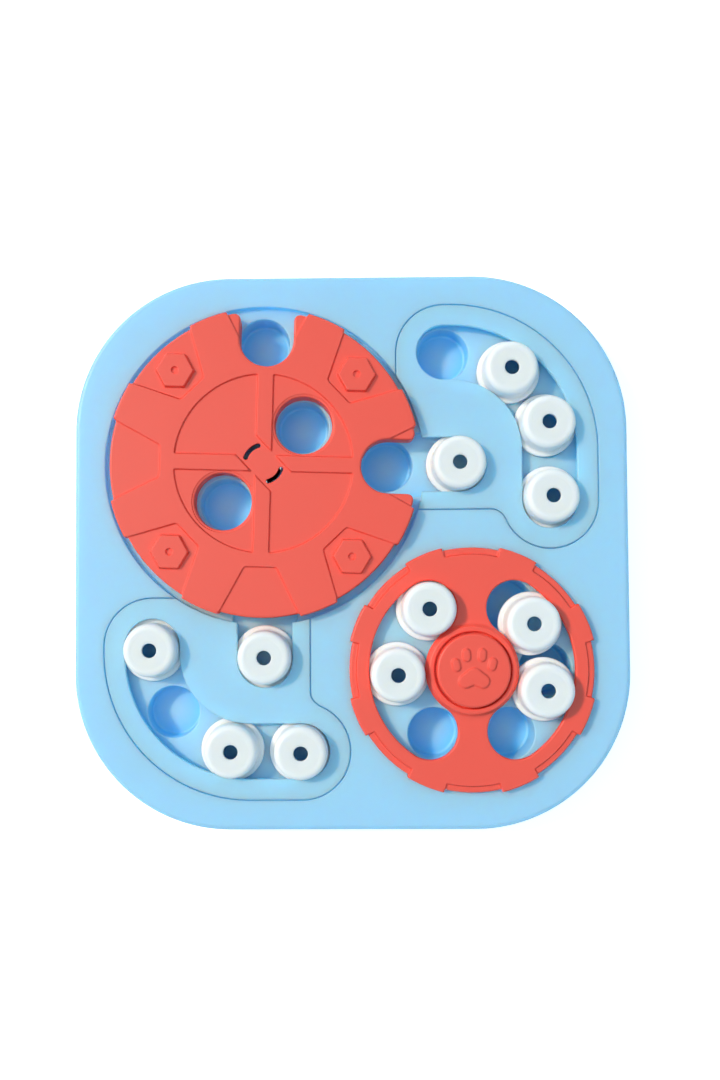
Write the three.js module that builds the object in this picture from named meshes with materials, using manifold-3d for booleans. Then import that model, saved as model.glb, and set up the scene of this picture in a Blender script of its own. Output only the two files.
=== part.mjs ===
// Puzzle feeder for dogs: a square tray of food wells under a turntable, a steering wheel and
// sliding pegs. Lengths are in millimetres. +X is right and +Y is the far edge as the tray is seen
// from above with the turntable at the upper left. +Z is up. The origin is on the floor under the
// tray's middle. The tray is alike on both sides of the line from the turntable's axis to the
// wheel's axis, so the right-hand track and its cover are made once and mirrored over that line.

import * as THREE from "three";
import { mergeVertices } from "three/addons/utils/BufferGeometryUtils.js";
import Module from "manifold-3d";

const wasm = await Module();
wasm.setup();

// Gaps between pieces
const SEAT_GAP = 0.3;
const SEAM_GAP = 0.4;
const KNOB_GAP = 0.5;
const OVERRUN = 6;

// Tray moulding
const TRAY_SIZE = 302.4;
const TRAY_CORNER_RADIUS = 84.8;
const TRAY_EDGE_ROUND = 3;
const DECK_TOP = 22;
const SKIRT_CLEARANCE = 1.5;
const SKIN = 2.4;

// Food wells
const WELL_RADIUS = 14.2;
const WELL_FLOOR_HEIGHT = 5;
const WELL_WALL = 2;

// Pegs: an inverted cup with a flange that the covers and the wheel hold down
const KNOB_RADIUS = 14.5;
const KNOB_ROUND = 2;
const KNOB_PROUD = 8.5;
const PEG_WALL = 2;
const PEG_HOLE_RADIUS = 4.1;
const FLANGE_RADIUS = 17.2;
const FLANGE_THICKNESS = 2.6;

// Tracks and their covers
const COVER_THICKNESS = 2.4;
const COVER_MARGIN = 26;
const COVER_INNER_FILLET = 6;
const COVER_FRONT_MARGIN = 24.5;
const CHANNEL_DEPTH = 6.2;
const TRACK_BEND_OFFSET = 55.3;
const TRACK_BEND_RADIUS = 53.3;
const TRACK_START_RUN = 3.8;
const TRACK_END_RUN = 28.3;
const TRACK_WELLS = 4;

// Turntable
const DISC_OFFSET = 47.1;
const DISC_RADIUS = 84.9;
const DISC_TOP_PROUD = 8;
const DISC_TOP_SKIN = 2.6;
const DISC_RECESS_DEPTH = 3.2;
const DISC_RECESS_MARGIN = 2.5;
const DISC_REST_TURN = -1.8;
const DISC_RIM_SKIRT = 2.2;
const DISC_COLLAR = 2;
const DISC_HOLE_RADIUS = 15.5;
const DISC_HOLE_DISH_RADIUS = 17;
const DISC_HOLE_DISH_DEPTH = 0.3;
const NOTCH_RADIUS = 14.6;
const NOTCH_MOUTH_ROUND = 4;
const INNER_WELL_CIRCLE = 29.9;
const OUTER_WELL_CIRCLE = 67.3;
const SECTOR_RADIUS = 48.6;
const SECTOR_DEPTH = 0.8;
const RIB_WIDTH = 8.2;
const CENTRE_BAND_WIDTH = 15.8;
const PANEL_INNER_DISTANCE = 55.8;
const PANEL_INNER_WIDTH = 17.6;
const PANEL_SIDE_ANGLE = 27.5;
const PANEL_DEPTH = 0.7;
const PANEL_RIM_STEP = 1.6;
const PANELS = 8;
const HEX_RADIUS = 10.7;
const HEX_DISTANCE = 69.4;
const HEX_HEIGHT = 2.3;
const HEX_HOLE_RADIUS = 1.9;
const HEX_HOLE_DEPTH = 1.2;
const PIVOT_HOLE_RADIUS = 9.1;
const HOOK_THICKNESS = 1.9;
const HOOK_BARB = 1.6;
const HOOK_BARB_HEIGHT = 2;
const HOOK_SPAN = 70;
const HOOK_WINDOW_RADIUS = 10;
const HOOK_WINDOW_WIDTH = 2.5;

// Straight slots that lead from a track cover to a notch of the turntable: how far they run past its rim
const STRAIGHT_SLOT_RUN = 21.4;

// Steering wheel
const WHEEL_RADIUS = 67.3;
const WHEEL_DISC_CLEARANCE = 5.77;
const WHEEL_TOP_PROUD = 5;
const WHEEL_RIM_LIFT = 0.3;
const WHEEL_WELL_CIRCLE = 40.2;
const WHEEL_WELLS = 6;
const WHEEL_OPENING_HALF_ANGLE = 55.2;
const WHEEL_RING_RADIUS = 60.5;
const WHEEL_RING_GAP = 0.5;
const WHEEL_CHANNEL_DEPTH = 1.2;
const WHEEL_LEDGE_DEPTH = 2.9;
const WHEEL_SKIN = 2.6;
const WHEEL_PANEL_HALF_ANGLE = 13.4;
const WHEEL_PANEL_DEPTH = 1;
const WHEEL_PANEL_STEP_RADIUS = 62;
const WHEEL_PANEL_RIM_STEP = 1.5;
const WHEEL_PANELS = 8;
const HUB_RADIUS = 24.6;
const HUB_PROUD = 3;
const HUB_BORE_RADIUS = 5.4;
const HUB_PLATE = 3.7;

// Wheel post, washer, screw and cap
const POST_RADIUS = 5;
const POST_PILOT_RADIUS = 1.7;
const WASHER_RADIUS = 9;
const WASHER_THICKNESS = 1;
const WHEEL_SCREW_HEAD_RADIUS = 4;
const WHEEL_SCREW_HEAD_HEIGHT = 2.2;
const WHEEL_SCREW_SHANK_RADIUS = 1.4;
const WHEEL_SCREW_LENGTH = 12;
const CAP_RADIUS = 19.7;
const CAP_PROUD = 3;
const CAP_ROUND = 1.2;
const CAP_LEDGE_DEPTH = 2.6;
const CAP_SKIRT_RADIUS = 16.7;
const CAP_SKIRT_WALL = 1.8;
const CAP_TOP_SKIN = 2.2;
const PAW_RELIEF = 0.5;
const PAW_PAD_RADIUS = 6;
const PAW_PAD_FLARE_SHARE = 0.2;
const PAW_TOE_RADIUS = 2.5;
const PAW_TOE_CIRCLE = 12;
const PAW_TOE_ANGLES = [150, 110, 70, 30];

// Screws that hold the covers from below
const COVER_BOSS_RADIUS = 2.6;
const COVER_BOSS_LENGTH = 8.9;
const COVER_SCREW_SHANK_RADIUS = 1;
const COVER_SCREW_HEAD_RADIUS = 2.3;
const COVER_SCREW_HEAD_HEIGHT = 1.6;
const COVER_SCREW_LENGTH = 9;
const SCREW_TUBE_WALL = 1.6;
const SCREW_TUBE_FLOOR = 1.8;
const COVER_SCREW_MARGIN = 4.1;
const INNER_SCREW_SETBACK = 28.1;

// Screw heads: the shares of the head that its flat end and its chamfer take
const SCREW_HEAD_END_SHARE = 0.8;
const SCREW_HEAD_SIDE_SHARE = 0.6;

// Rubber feet
const FOOT_RADIUS = 7.5;
const FOOT_THICKNESS = 3.2;
const FOOT_WALL = 2.4;
const FOOT_EDGE_CHAMFER = 0.6;
const FOOT_RIM_DISTANCE = 12.2;

// Facets round a full circle
const WELL_FACETS = 16;
const PEG_FACETS = 16;
const DISC_FACETS = 60;
const WHEEL_FACETS = 48;
const HUB_FACETS = 24;
const SCREW_FACETS = 8;
const PAN_FACETS = 28;
const CUP_FACETS = 10;
// Facets round a quarter circle of a large bend
const CORNER_FACETS = 10;

// Heights worked out from the sizes above
const LEDGE_TOP = DECK_TOP - COVER_THICKNESS - SEAT_GAP;
const CHANNEL_FLOOR = DECK_TOP - CHANNEL_DEPTH;
const DISC_FLOOR = DECK_TOP - DISC_RECESS_DEPTH;
const DISC_UNDER = DISC_FLOOR + SEAT_GAP;
const DISC_TOP = DECK_TOP + DISC_TOP_PROUD;
const WHEEL_CHANNEL_FLOOR = DECK_TOP - WHEEL_CHANNEL_DEPTH;
const WHEEL_LEDGE = DECK_TOP - WHEEL_LEDGE_DEPTH;
const WHEEL_UNDER = WHEEL_LEDGE + SEAT_GAP;
const WHEEL_TOP = DECK_TOP + WHEEL_TOP_PROUD;
const POST_TOP = DECK_TOP + SEAT_GAP + HUB_PLATE;
const TRAY_HALF = TRAY_SIZE / 2;
const SLOT_HALF = KNOB_RADIUS + KNOB_GAP;
const CHANNEL_HALF = FLANGE_RADIUS + KNOB_GAP;
const DEG = Math.PI / 180;

// Angles of what repeats round the turntable and the tray
const QUARTERS = [0, 90, 180, 270];
const DIAGONALS = [45, 135, 225, 315];
const DISC_HOLE_ANGLES = [45, 225];
const NOTCH_ANGLES = [0, 90];
const CHANNEL_WELL_ANGLES = [0, 270];
const HOOK_ANGLES = [135, 315];
const CENTRE_BAND_ANGLE = 135;

const DISC_AT = [-DISC_OFFSET, DISC_OFFSET];
const WHEEL_OFFSET = (DISC_RADIUS + WHEEL_RADIUS + WHEEL_DISC_CLEARANCE) * Math.SQRT1_2 - DISC_OFFSET;
const WHEEL_AT = [WHEEL_OFFSET, -WHEEL_OFFSET];
const BEND_AT = [TRACK_BEND_OFFSET, TRACK_BEND_OFFSET];
const TRACK_START = [TRACK_BEND_OFFSET - TRACK_START_RUN, TRACK_BEND_OFFSET + TRACK_BEND_RADIUS];
const TRACK_END = [TRACK_BEND_OFFSET + TRACK_BEND_RADIUS, TRACK_BEND_OFFSET - TRACK_END_RUN];
const STRAIGHT_START = [OUTER_WELL_CIRCLE - DISC_OFFSET, DISC_OFFSET];
const STRAIGHT_END = [DISC_RADIUS + STRAIGHT_SLOT_RUN - DISC_OFFSET, DISC_OFFSET];

// A closed geometry becomes a solid. Shared vertices are merged, triangles that a pole or a seam has
// flattened are dropped, and the winding is turned round where the signed volume is negative.
function solidOf(geometry) {
  geometry.deleteAttribute("normal");
  geometry.deleteAttribute("uv");
  const merged = mergeVertices(geometry);
  const corners = merged.getAttribute("position").array;
  const index = merged.getIndex().array;
  const kept = [];
  let volume = 0;
  for (let i = 0; i < index.length; i += 3) {
    const [a, b, c] = [index[i], index[i + 1], index[i + 2]];
    if (a === b || b === c || c === a) continue;
    kept.push(a, b, c);
    const [p, q, r] = [a, b, c].map((n) => new THREE.Vector3().fromArray(corners, n * 3));
    volume += p.dot(q.cross(r));
  }
  if (volume < 0) kept.reverse();
  return new wasm.Manifold(new wasm.Mesh({
    numProp: 3,
    vertProperties: new Float32Array(corners),
    triVerts: new Uint32Array(kept),
  }));
}

// Points along an arc, both ends included.
function arc([x, y], radius, from, to, facets) {
  const points = [];
  for (let i = 0; i <= facets; i += 1) {
    const angle = (from + ((to - from) * i) / facets) * DEG;
    points.push([x + radius * Math.cos(angle), y + radius * Math.sin(angle)]);
  }
  return points;
}

function circle(centre, radius, facets, turn = 0) {
  return arc(centre, radius, turn, 360 + turn, facets).slice(0, -1);
}

function polar([x, y], radius, angle) {
  return [x + radius * Math.cos(angle * DEG), y + radius * Math.sin(angle * DEG)];
}

// A prism from an outline, between two heights, with an optional rounding at both ends.
function prism(outline, low, high, round = 0) {
  const shape = new THREE.Shape(outline.map(([x, y]) => new THREE.Vector2(x, y)));
  const geometry = new THREE.ExtrudeGeometry(shape, {
    depth: high - low - 2 * round,
    bevelEnabled: round > 0,
    bevelThickness: round,
    bevelSize: round,
    bevelOffset: -round,
    bevelSegments: 2,
  });
  geometry.translate(0, 0, low + round);
  return solidOf(geometry);
}

// A solid turned about the Z axis through a place: the profile holds [radius, height] pairs.
function turned(profile, facets, [x, y] = [0, 0]) {
  const geometry = new THREE.LatheGeometry(profile.map(([r, z]) => new THREE.Vector2(r, z)), facets);
  geometry.rotateX(Math.PI / 2);
  geometry.translate(x, y, 0);
  return solidOf(geometry);
}

function tube(centre, inner, outer, low, high, facets) {
  return prism(circle(centre, outer, facets), low, high)
    .subtract(prism(circle(centre, inner, facets), low - OVERRUN, high + OVERRUN));
}

function joined(solids) {
  return solids.reduce((sum, solid) => sum.add(solid));
}

// The same solid on the other side of the line through the turntable's and the wheel's axes.
function mirrored(solid) {
  return solid.mirror([1, 1, 0]);
}

function bothSides(solid) {
  return [solid, mirrored(solid)];
}

const group = new THREE.Group();

function plastic(color) {
  return new THREE.MeshStandardMaterial({ color, roughness: 0.45, metalness: 0 });
}

const SKY_BLUE = 0x9dd2f3;
const CORAL_RED = 0xf46252;
const WHITE = 0xf4f1f5;
const STEEL = 0xb9bcc0;
const GREY_RUBBER = 0x5a5f66;

function addPiece(name, solid, material, parent = group) {
  const mesh = solid.getMesh();
  const geometry = new THREE.BufferGeometry();
  const corners = new Float32Array(mesh.numVert * 3);
  for (let i = 0; i < mesh.numVert; i += 1) {
    for (let k = 0; k < 3; k += 1) corners[i * 3 + k] = mesh.vertProperties[i * mesh.numProp + k];
  }
  geometry.setAttribute("position", new THREE.BufferAttribute(corners, 3));
  geometry.setIndex(new THREE.BufferAttribute(new Uint32Array(mesh.triVerts), 1));
  geometry.computeVertexNormals();
  const piece = new THREE.Mesh(geometry, material);
  piece.name = name;
  parent.add(piece);
  return piece;
}

// Outlines

function roundedSquare(half, radius) {
  const inner = half - radius;
  return [
    ...arc([inner, inner], radius, 0, 90, CORNER_FACETS),
    ...arc([-inner, inner], radius, 90, 180, CORNER_FACETS),
    ...arc([-inner, -inner], radius, 180, 270, CORNER_FACETS),
    ...arc([inner, -inner], radius, 270, 360, CORNER_FACETS),
  ];
}

// A band round the right-hand track's centreline: a short run, a quarter bend and a long run, with
// round ends.
function trackBand(half) {
  return [
    ...arc(TRACK_START, half, 270, 90, WELL_FACETS / 2),
    ...arc(BEND_AT, TRACK_BEND_RADIUS + half, 90, 0, CORNER_FACETS),
    ...arc(TRACK_END, half, 0, -180, WELL_FACETS / 2),
    ...arc(BEND_AT, TRACK_BEND_RADIUS - half, 0, 90, CORNER_FACETS),
  ];
}

// A straight band with round ends between two places on one line along X.
function straightBand([fromX, y], [toX], half) {
  return [
    ...arc([fromX, y], half, 90, 270, WELL_FACETS / 2),
    ...arc([toX, y], half, -90, 90, WELL_FACETS / 2),
  ];
}

// The field inside the bend of a track cover, down to its straight front edge. The corner between that
// edge and the round end of the cover is filleted.
function coverField(grow) {
  const left = TRACK_START[0] - COVER_MARGIN - grow;
  const front = DISC_OFFSET - COVER_FRONT_MARGIN - grow;
  const fillet = COVER_INNER_FILLET - grow;
  const reach = COVER_MARGIN + grow + fillet;
  const drop = TRACK_END[1] - front + fillet;
  const filletX = TRACK_END[0] - Math.sqrt(reach * reach - drop * drop);
  const endAngle = Math.atan2(drop, TRACK_END[0] - filletX) / DEG;
  return [
    [left, TRACK_START[1]],
    [left, front],
    ...arc([filletX, front - fillet], fillet, 90, endAngle, WELL_FACETS / 4),
    TRACK_END,
    [TRACK_END[0], BEND_AT[1]],
    [BEND_AT[0], TRACK_START[1]],
  ];
}

function coverBlock(grow, low, high) {
  return prism(trackBand(COVER_MARGIN + grow), low, high).add(prism(coverField(grow), low, high));
}

// Places

// A place on the right-hand track, a given way from its start along the centreline.
function alongTrack(distance) {
  const bend = (TRACK_BEND_RADIUS * Math.PI) / 2;
  if (distance <= TRACK_START_RUN) return [TRACK_START[0] + distance, TRACK_START[1]];
  if (distance <= TRACK_START_RUN + bend) {
    return polar(BEND_AT, TRACK_BEND_RADIUS, 90 - (distance - TRACK_START_RUN) / TRACK_BEND_RADIUS / DEG);
  }
  return [TRACK_END[0], BEND_AT[1] - (distance - TRACK_START_RUN - bend)];
}

function otherSide([x, y]) {
  return [-y, -x];
}

const trackLength = TRACK_START_RUN + (TRACK_BEND_RADIUS * Math.PI) / 2 + TRACK_END_RUN;
const rightWells = Array.from({ length: TRACK_WELLS }, (_, i) => (
  alongTrack((trackLength * i) / (TRACK_WELLS - 1))
));
const leftWells = rightWells.map(otherSide);
const innerWells = DIAGONALS.map((angle) => polar(DISC_AT, INNER_WELL_CIRCLE, angle));
const outerWells = QUARTERS.map((angle) => polar(DISC_AT, OUTER_WELL_CIRCLE, angle));
const wheelWells = Array.from({ length: WHEEL_WELLS }, (_, i) => (
  polar(WHEEL_AT, WHEEL_WELL_CIRCLE, (360 * i) / WHEEL_WELLS)
));
const allWells = [...innerWells, ...outerWells, ...rightWells, ...leftWells, ...wheelWells];

const screwReach = COVER_MARGIN - COVER_SCREW_MARGIN;
const rightScrews = [
  polar(TRACK_START, screwReach, 135),
  polar(BEND_AT, TRACK_BEND_RADIUS + screwReach, 45),
  polar(TRACK_END, screwReach, 270),
  [BEND_AT[0], STRAIGHT_END[1] + INNER_SCREW_SETBACK],
];
const leftScrews = rightScrews.map(otherSide);
const allScrews = [...rightScrews, ...leftScrews];
const coverUnder = DECK_TOP - COVER_THICKNESS;
const bossBottom = coverUnder - COVER_BOSS_LENGTH;
const tubeFloorTop = bossBottom - SEAT_GAP;
const tubeBottom = tubeFloorTop - SCREW_TUBE_FLOOR;

const cornerReach = (TRAY_HALF - TRAY_CORNER_RADIUS) * Math.SQRT2 + TRAY_CORNER_RADIUS;
const footReach = cornerReach - FOOT_RIM_DISTANCE;
const footPlaces = DIAGONALS.map((angle) => polar([0, 0], footReach, angle));

// Tray: one thin moulding, open below, with a pan under every recess. The cups under its wells belong
// to the same moulding, and stand in nodes of their own below it.

function trayShell() {
  const outer = prism(roundedSquare(TRAY_HALF, TRAY_CORNER_RADIUS), -OVERRUN, DECK_TOP, TRAY_EDGE_ROUND);
  const insideOutline = roundedSquare(TRAY_HALF - SKIN, TRAY_CORNER_RADIUS - SKIN);
  const inside = prism(insideOutline, -OVERRUN, DECK_TOP - SKIN);
  const below = prism(roundedSquare(TRAY_SIZE, TRAY_CORNER_RADIUS), -OVERRUN - SKIN, SKIRT_CLEARANCE);
  return outer.subtract(inside).subtract(below);
}

function trayPans() {
  const top = DECK_TOP - SKIN / 2;
  const straightPan = straightBand(STRAIGHT_START, STRAIGHT_END, CHANNEL_HALF + SKIN);
  const wheelPanRadius = WHEEL_RING_RADIUS + WHEEL_RING_GAP + SKIN;
  const screwTubeRadius = COVER_BOSS_RADIUS + SEAT_GAP + SCREW_TUBE_WALL;
  return joined([
    prism(circle(DISC_AT, DISC_RADIUS + DISC_RECESS_MARGIN + SKIN, PAN_FACETS), DISC_FLOOR - SKIN, top),
    ...bothSides(coverBlock(SEAM_GAP + SKIN, LEDGE_TOP - SKIN, top)),
    ...bothSides(prism(trackBand(CHANNEL_HALF + SKIN), CHANNEL_FLOOR - SKIN, top)),
    ...bothSides(prism(straightPan, CHANNEL_FLOOR - SKIN, top)),
    prism(circle(WHEEL_AT, wheelPanRadius, WHEEL_FACETS), WHEEL_CHANNEL_FLOOR - SKIN, top),
    tube(WHEEL_AT, WHEEL_WELL_CIRCLE + CHANNEL_HALF - SKIN / 2, wheelPanRadius, WHEEL_LEDGE - SKIN, top,
      WHEEL_FACETS),
    ...allScrews.map((at) => (
      prism(circle(at, screwTubeRadius, SCREW_FACETS), tubeBottom, LEDGE_TOP - SKIN / 2)
    )),
    ...footPlaces.map((at) => (
      prism(circle(at, FOOT_RADIUS + SEAT_GAP + FOOT_WALL, CUP_FACETS), SKIRT_CLEARANCE, top)
    )),
  ]);
}

function trayCuts() {
  const high = DECK_TOP + OVERRUN;
  const straightChannel = straightBand(STRAIGHT_START, STRAIGHT_END, CHANNEL_HALF);
  const ringInner = WHEEL_WELL_CIRCLE - CHANNEL_HALF;
  const ringOuter = WHEEL_WELL_CIRCLE + CHANNEL_HALF;
  const ledgeOuter = WHEEL_RING_RADIUS + WHEEL_RING_GAP;
  return joined([
    prism(circle(DISC_AT, DISC_RADIUS + DISC_RECESS_MARGIN, DISC_FACETS), DISC_FLOOR, high),
    prism(circle(DISC_AT, PIVOT_HOLE_RADIUS, HUB_FACETS), 0, high),
    ...bothSides(coverBlock(SEAM_GAP, LEDGE_TOP, high)),
    ...bothSides(prism(trackBand(CHANNEL_HALF), CHANNEL_FLOOR, high)),
    ...bothSides(prism(straightChannel, CHANNEL_FLOOR, high)),
    tube(WHEEL_AT, ringOuter, ledgeOuter, WHEEL_LEDGE, high, WHEEL_FACETS),
    tube(WHEEL_AT, ringInner, (ringOuter + ledgeOuter) / 2, WHEEL_CHANNEL_FLOOR, high, WHEEL_FACETS),
    tube(WHEEL_AT, POST_RADIUS, ringInner - SKIN, 0, DECK_TOP - SKIN, HUB_FACETS),
    ...allWells.map((at) => prism(circle(at, WELL_RADIUS, WELL_FACETS), CHANNEL_FLOOR - OVERRUN, high)),
    ...allScrews.map((at) => joined([
      prism(circle(at, COVER_BOSS_RADIUS + SEAT_GAP, SCREW_FACETS), tubeFloorTop, high),
      prism(circle(at, COVER_SCREW_SHANK_RADIUS + SEAT_GAP, SCREW_FACETS), 0, high),
      prism(circle(at, COVER_SCREW_HEAD_RADIUS + SEAT_GAP, SCREW_FACETS), 0, tubeBottom),
    ])),
    ...footPlaces.map((at) => (
      prism(circle(at, FOOT_RADIUS + SEAT_GAP, WELL_FACETS), 0, FOOT_THICKNESS + SEAT_GAP)
    )),
  ]);
}

function baseTray() {
  const postLow = CHANNEL_FLOOR - SKIN;
  const post = prism(circle(WHEEL_AT, POST_RADIUS, HUB_FACETS), postLow, POST_TOP);
  const pilotOutline = circle(WHEEL_AT, POST_PILOT_RADIUS, SCREW_FACETS);
  const pilot = prism(pilotOutline, postLow - OVERRUN, POST_TOP + OVERRUN);
  return trayShell().add(trayPans()).subtract(trayCuts()).add(post).subtract(pilot);
}

addPiece("base_tray", baseTray(), plastic(SKY_BLUE));

// Well cups: each hangs under its hole, from the pan of the turntable or the lower one of a channel. Two
// of the turntable's outer wells lie in the ends of the straight channels.

function wellCup(at, pan) {
  const low = WELL_FLOOR_HEIGHT - WELL_WALL;
  const high = pan - SKIN - SEAT_GAP;
  return prism(circle(at, WELL_RADIUS + WELL_WALL, WELL_FACETS), low, high)
    .subtract(prism(circle(at, WELL_RADIUS, WELL_FACETS), WELL_FLOOR_HEIGHT, high + OVERRUN));
}

innerWells.forEach((at, i) => {
  addPiece(`inner_well_cup_${i + 1}`, wellCup(at, DISC_FLOOR), plastic(SKY_BLUE));
});
outerWells.forEach((at, i) => {
  const pan = CHANNEL_WELL_ANGLES.includes(QUARTERS[i]) ? CHANNEL_FLOOR : DISC_FLOOR;
  addPiece(`outer_well_cup_${i + 1}`, wellCup(at, pan), plastic(SKY_BLUE));
});
const channelWells = {
  right_track: [rightWells, CHANNEL_FLOOR],
  left_track: [leftWells, CHANNEL_FLOOR],
  wheel: [wheelWells, WHEEL_CHANNEL_FLOOR],
};
for (const [name, [places, pan]] of Object.entries(channelWells)) {
  places.forEach((at, i) => {
    addPiece(`${name}_well_cup_${i + 1}`, wellCup(at, pan), plastic(SKY_BLUE));
  });
}

// Track covers: a flush plate with a bent slot and a straight slot, screwed down from below through
// four bosses.

function rightTrackCover() {
  const high = DECK_TOP + OVERRUN;
  const plate = coverBlock(0, coverUnder, DECK_TOP);
  const bosses = rightScrews.map((at) => (
    prism(circle(at, COVER_BOSS_RADIUS, SCREW_FACETS), bossBottom, DECK_TOP - COVER_THICKNESS / 2)
  ));
  const pilots = rightScrews.map((at) => (
    prism(circle(at, COVER_SCREW_SHANK_RADIUS + SEAT_GAP, SCREW_FACETS), bossBottom - OVERRUN, coverUnder)
  ));
  return joined([plate, ...bosses]).subtract(joined([
    prism(circle(DISC_AT, DISC_RADIUS + DISC_RECESS_MARGIN, DISC_FACETS), 0, high),
    prism(trackBand(SLOT_HALF), coverUnder - OVERRUN, high),
    prism(straightBand(STRAIGHT_START, STRAIGHT_END, SLOT_HALF), coverUnder - OVERRUN, high),
    ...pilots,
  ]));
}

const rightCover = rightTrackCover();
addPiece("right_track_cover", rightCover, plastic(SKY_BLUE));
addPiece("left_track_cover", mirrored(rightCover), plastic(SKY_BLUE));

// Turntable: a thin disc with a skirt, made about its own axis and then placed at its rest turn. Two snap
// hooks hold it in the tray, under two windows that let the mould form their barbs.

function panelPrism(angle, low, high) {
  const far = DISC_RADIUS + OVERRUN;
  const half = PANEL_INNER_WIDTH / 2;
  const farHalf = half + (far - PANEL_INNER_DISTANCE) * Math.tan(PANEL_SIDE_ANGLE * DEG);
  const outline = [
    [PANEL_INNER_DISTANCE, -half],
    [far, -farHalf],
    [far, farHalf],
    [PANEL_INNER_DISTANCE, half],
  ];
  return prism(outline, low, high).rotate([0, 0, angle]);
}

function notchPrism(angle, grow, low, high) {
  const radius = NOTCH_RADIUS + grow;
  const round = NOTCH_MOUTH_ROUND - grow;
  const cornerX = DISC_RADIUS - NOTCH_MOUTH_ROUND;
  const far = DISC_RADIUS + OVERRUN;
  const outline = [
    ...arc([OUTER_WELL_CIRCLE, 0], radius, 90, 270, WELL_FACETS),
    ...arc([cornerX, -radius - round], round, 90, 0, WELL_FACETS / 4),
    [far, -radius - round],
    [far, radius + round],
    ...arc([cornerX, radius + round], round, 0, -90, WELL_FACETS / 4),
  ];
  return prism(outline, low, high).rotate([0, 0, angle]);
}

// An arc-shaped wall about the axis, seen in plan from one angle to another.
function arcPrism(inner, outer, middle, span, low, high) {
  const facets = HUB_FACETS / 4;
  const outline = [
    ...arc([0, 0], outer, middle - span / 2, middle + span / 2, facets),
    ...arc([0, 0], inner, middle + span / 2, middle - span / 2, facets),
  ];
  return prism(outline, low, high);
}

// A recess of one quarter of the inner circle, held clear of the ribs on both of its straight sides.
function sectorPrism(turn, low, high) {
  const edge = RIB_WIDTH / 2;
  const from = Math.asin(edge / SECTOR_RADIUS) / DEG;
  const outline = [[edge, edge], ...arc([0, 0], SECTOR_RADIUS, from, 90 - from, WELL_FACETS / 2)];
  return prism(outline, low, high).rotate([0, 0, turn]);
}

function turntableTop() {
  const high = DISC_TOP + OVERRUN;
  const panelFloor = DISC_TOP - PANEL_DEPTH;
  const sectorFloor = DISC_TOP - SECTOR_DEPTH;
  const low = DISC_UNDER - OVERRUN;
  const innerRim = prism(circle([0, 0], DISC_RADIUS - PANEL_RIM_STEP, DISC_FACETS), low, high);
  const panelAngles = Array.from({ length: PANELS }, (_, i) => (360 * i) / PANELS);
  const panelSides = joined(panelAngles.map((angle) => panelPrism(angle, low, high)));
  const rimSteps = panelSides.subtract(innerRim);
  const bandReach = SECTOR_RADIUS - RIB_WIDTH;
  const bandHalf = CENTRE_BAND_WIDTH / 2;
  const band = prism(
    [[-bandReach, -bandHalf], [bandReach, -bandHalf], [bandReach, bandHalf], [-bandReach, bandHalf]],
    sectorFloor,
    high,
  ).rotate([0, 0, CENTRE_BAND_ANGLE]);
  const dishes = DISC_HOLE_ANGLES.map((angle) => prism(
    circle(polar([0, 0], INNER_WELL_CIRCLE, angle), DISC_HOLE_DISH_RADIUS, HUB_FACETS),
    sectorFloor - DISC_HOLE_DISH_DEPTH,
    high,
  ));
  const relief = joined([
    ...panelAngles.map((angle) => panelPrism(angle, panelFloor, high)),
    ...QUARTERS.map((turn) => sectorPrism(turn, sectorFloor, high)),
    band,
    ...dishes,
    rimSteps,
  ]);
  const hexes = DIAGONALS.map((angle) => {
    const at = polar([0, 0], HEX_DISTANCE, angle);
    const hexTop = panelFloor + HEX_HEIGHT;
    return prism(circle(at, HEX_RADIUS, 6), DISC_TOP - DISC_TOP_SKIN, hexTop)
      .subtract(prism(circle(at, HEX_HOLE_RADIUS, SCREW_FACETS), hexTop - HEX_HOLE_DEPTH, high));
  });
  const blank = prism(circle([0, 0], DISC_RADIUS, DISC_FACETS), DISC_UNDER, DISC_TOP);
  return joined([blank.subtract(relief), ...hexes]);
}

function turntableHollow() {
  const [low, high] = [DISC_UNDER - OVERRUN, DISC_TOP - DISC_TOP_SKIN];
  const reach = DISC_RADIUS - PANEL_RIM_STEP - DISC_RIM_SKIRT;
  const sleeveInner = HOOK_WINDOW_RADIUS + HOOK_WINDOW_WIDTH;
  const collarRadius = DISC_HOLE_RADIUS + DISC_COLLAR;
  const kept = joined([
    ...DISC_HOLE_ANGLES.map((angle) => (
      prism(circle(polar([0, 0], INNER_WELL_CIRCLE, angle), collarRadius, WELL_FACETS), low, high)
    )),
    ...NOTCH_ANGLES.map((angle) => notchPrism(angle, DISC_COLLAR, low, high)),
    tube([0, 0], sleeveInner, sleeveInner + DISC_COLLAR, low, high, HUB_FACETS),
  ]);
  return prism(circle([0, 0], reach, DISC_FACETS), low, high).subtract(kept);
}

function turntableHooks() {
  const outer = PIVOT_HOLE_RADIUS - SEAT_GAP;
  const inner = outer - HOOK_THICKNESS;
  const barbTop = DISC_FLOOR - SKIN - SEAT_GAP;
  const barbLow = barbTop - HOOK_BARB_HEIGHT;
  return HOOK_ANGLES.flatMap((angle) => [
    arcPrism(inner, outer, angle, HOOK_SPAN, barbLow, DISC_TOP - DISC_TOP_SKIN / 2),
    arcPrism(inner, outer + HOOK_BARB, angle, HOOK_SPAN, barbLow, barbTop),
  ]);
}

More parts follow.
